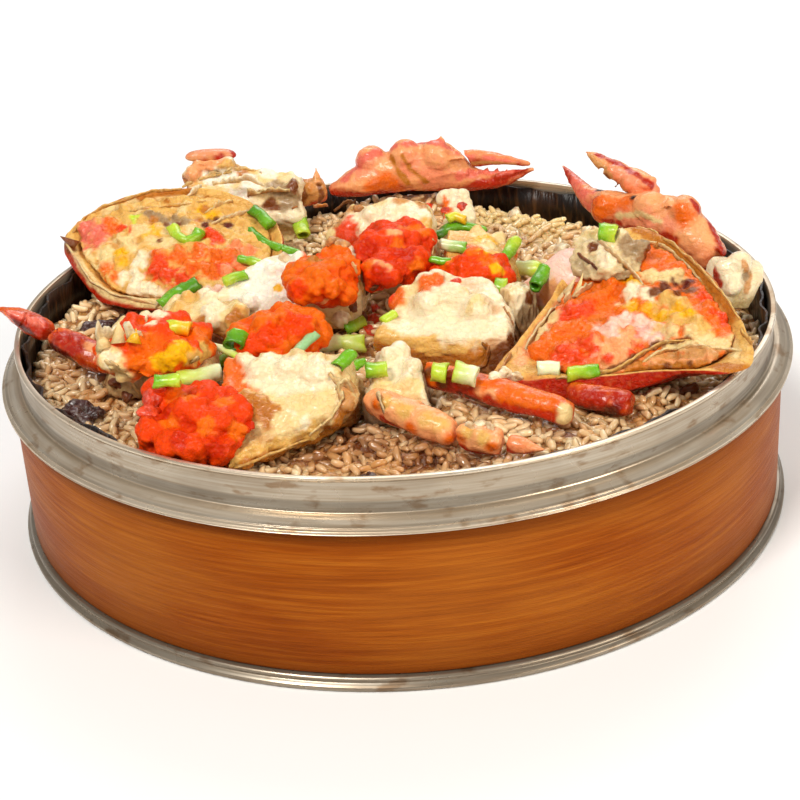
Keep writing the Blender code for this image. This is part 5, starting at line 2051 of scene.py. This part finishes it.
@dataclass
class Scraps:
    """The torn skins, spikes and crumbs that lie over the larger pieces; the dark brown crumbs are
    painted shade, set in the gaps and under the right shell.
    """

    skins: list[Skin] = field(default_factory=lambda: Skin.table("""
        1 gold straw 0.25: 72,232 85,217 105,206 128,198 150,191 172,189 190,187
        0.9 gold straw 0.3: 120,214 140,208 160,206 185,204 205,200
        1.6 coral cream 0.25 0 -0.6 1: 66,243 78,262 90,281 110,293 135,300 158,303
        2.6 straw white 0.9: 186,196 205,187 228,181 250,180 264,186
        1.8 straw cream 0.9: 182,186 200,178 225,172 245,168 262,172
        2.6 gold cream 0.9: 205,212 225,203 245,196 268,190 290,190
        2 gold pale 0.9: 212,224 232,216 250,210 270,212
        6.5 cream white 0.9: 95,352 101,345 110,338 120,334 130,338 142,334
        4.4 straw cream 0.6 -0.4 -0.4 1: 100,372 112,368 124,372 134,386 146,404
        5 cream white 0.4: 146,322 150,312 158,304
        2.6 straw cream 0.35: 334,224 348,211 368,203 395,199 422,200 432,214 434,240 431,260
        2.6 straw cream 0.35: 352,262 358,276 362,290 365,300
        3 brown tan 0.9: 504,306 512,322 516,340 510,358 498,372
        2.6 brown gold 0.9: 482,342 490,352 486,364 470,370
        2.6 tan cream 0.9 0.5 -0.2 0.8: 330,372 338,384 341,400 330,420 310,434
        2.2 brown straw 0.6 0.1 -0.8 0.4: 320,436 290,446 262,458 234,468
        2.6 tan cream 0.8: 335,388 345,384 354,392
        2 cream white 0.5: 212,350 226,352 242,360
        3.2 brown cream 0.9: 190,362 200,356 212,360
        1.6 straw pale 0.5: 524,352 534,334 546,318 558,304
        3.6 tan pale 0.9: 562,304 572,298 584,291 592,284
        1.6 maroon brown 0.4: 566,248 578,254 590,262 599,270
        2.4 gold pale 0.4: 598,240 612,254 628,268 642,284
        1.3 gold straw 0.3: 622,226 650,230 676,246 700,268 722,292 738,316 752,340
        1.2 gold cream 0.4: 640,238 664,246 684,262 704,284
        1.6 brown straw 0.4: 556,377 590,376 620,368 642,354 664,343 690,339
        1.4 gold cream 0.4: 642,362 664,350 690,346 720,348 745,352
        3 gold straw 0.9 0.5 -0.2 1: 742,330 752,345 757,362 752,376
        3 brown tan 0.9: 334,210 345,202 356,203 366,208
        2.6 brown gold 0.8: 292,208 310,206 328,204
        3 brown pale 0.8: 372,394 380,400 384,412
    """))
    spikes: list[Spike] = field(default_factory=lambda: Spike.table("""
        4.6 brown: 74,245 60,236
        6 cream: 104,346 98,330
        6 cream: 120,340 118,321
        5 yellow: 134,341 136,328
        3 pale: 568,292 576,276
        2.6 cream: 577,294 583,273
        2.6 pale: 560,300 566,288
    """))
    crumbs: list[Crumbs] = field(default_factory=lambda: [
        Crumbs(Tint.WHITE, (
            (515, 214, 3.2), (505, 375, 2.4), (516, 377, 2.4), (496, 378, 1.8), (340, 318, 3.4),
            (745, 318, 2.4), (755, 325, 2.0), (536, 198, 2.2), (562, 208, 2.0), (300, 244, 2.6),
            (312, 238, 2.4), (285, 258, 2.0), (480, 424, 1.8), (470, 427, 1.6), (490, 428, 1.6))),
        Crumbs(Tint.ROE, (
            (372, 320, 2.8), (376, 310, 2.6), (370, 330, 2.2), (446, 210, 2.0), (462, 206, 2.2),
            (430, 206, 2.2), (152, 398, 3.0), (150, 412, 3.0), (160, 386, 2.6), (455, 282, 1.8)),
               lumpy=0.5),
        Crumbs(Tint.TAN, (
            (330, 206, 2.2), (346, 208, 2.2), (358, 210, 1.8), (300, 230, 2.2))),
        # Dark brown lumps where shade falls between pieces and under the right shell: painted
        # shade.
        Crumbs(Tint.BROWN, (
            (366, 292, 2.0), (374, 286, 1.8), (352, 306, 2.2), (362, 318, 1.8), (216, 338, 2.2),
            (104, 376, 2.0), (116, 384, 2.2), (128, 394, 1.8), (690, 392, 2.2)), lumpy=0.9),
    ])

    def build(self, ground: BVHTree) -> None:
        """Makes them all.

        Args:
            ground: A search tree over the food.
        """
        soft = Food("soft_scraps", rough=0.36, wet=0.4, glow=0.20, reach=0.0015, mottle=0.40,
                    speck=0.0011, depth=0.00040, vein=0.20).material()
        shell = Food("spiny_shell", rough=0.34, wet=0.4, glow=0.10, reach=0.001, mottle=0.3,
                     speck=0.0012, depth=0.0002).material()
        skins = joined("torn_skins", [s.part(ground, k) for k, s in enumerate(self.skins)])
        skins.modified("SOLIDIFY", thickness=0.0006, offset=0.0).shown(soft, "flesh")
        near = Vector((0.0, 0.03, 0.08))
        spikes = joined("shell_spikes", [s.part(ground, near) for s in self.spikes])
        spikes.shown(shell, "red_shell")
        for seed, crumbs in enumerate(self.crumbs):
            name = "crumbs_" + crumbs.tint.name.lower()
            joined(name, crumbs.parts(ground, seed)).shown(soft, "flesh")


# The stage


@dataclass(frozen=True)
class Lamp:
    """A soft square lamp that looks at the dish."""

    name: str
    place: tuple[float, float, float]
    size: float
    watts: float
    colour: tuple[float, float, float]
    aim: tuple[float, float, float] = (0, 0, 0.05)

    def add(self) -> None:
        """Puts the lamp in the scene."""
        data = bpy.data.lights.new(self.name, "AREA")
        data.size = self.size
        data.energy = self.watts
        data.color = self.colour
        lamp = bpy.data.objects.new(self.name, data)
        lamp.location = self.place
        aim = Vector(self.aim) - Vector(self.place)
        lamp.rotation_euler = aim.to_track_quat("-Z", "Y").to_euler()
        bpy.context.scene.collection.objects.link(lamp)


@dataclass
class Studio:
    """A plain pale floor, soft lamps and the camera."""

    floor_size: float = 8.0
    sky: tuple[float, float, float, float] = (0.97, 0.98, 1.0, 1.0)
    sky_strength: float = 0.30
    lamps: tuple[Lamp, ...] = (
        Lamp("key", (-1.5, -2.1, 3.4), 1.1, 126, (1.0, 0.97, 0.92)),
        Lamp("fill", (2.6, -2.2, 1.8), 1.8, 80, (1.0, 0.92, 0.80)),
        Lamp("back", (0.5, 2.6, 2.4), 2.0, 44, (1.0, 1.0, 1.0)),
    )

    def build(self) -> None:
        """Makes the floor, the lamps and the camera."""
        shape = bmesh.new()
        bmesh.ops.create_grid(shape, x_segments=1, y_segments=1, size=self.floor_size / 2)
        form = Form.of_shape("floor", shape)
        form.mesh.materials.append(PlainFloor().material())
        floor = bpy.data.objects.new("floor", form.mesh)
        bpy.context.scene.collection.objects.link(floor)
        world = bpy.data.worlds.new("studio")
        world.use_nodes = True
        background = world.node_tree.nodes["Background"].inputs
        background["Color"].default_value = self.sky
        background["Strength"].default_value = self.sky_strength
        bpy.context.scene.world = world
        for lamp in self.lamps:
            lamp.add()
        bpy.context.scene.view_settings.view_transform = "Standard"
        CAMERA.add()


def toppings_tree() -> BVHTree:
    """A search tree over the solids of all that lies on the rice."""
    return tree_over([node.data for name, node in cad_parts.items() if name not in HOLDERS])


def main() -> None:
    """Builds the dish from its basket up, then the stage."""
    logging.basicConfig(level=logging.INFO, format="%(message)s")
    toppings = toppings_tree()
    Studio().build()
    SteamerBasket().build()
    LeafLining().build()
    CrabBody().build()
    RoeHeaps().build()
    UpturnedShells().build()
    Limbs().build()
    Oddments().build()
    RiceBed().build(toppings)
    Scraps().build(food_tree())
    SpringOnions().build(food_tree())


if __name__ == "__main__":
    main()
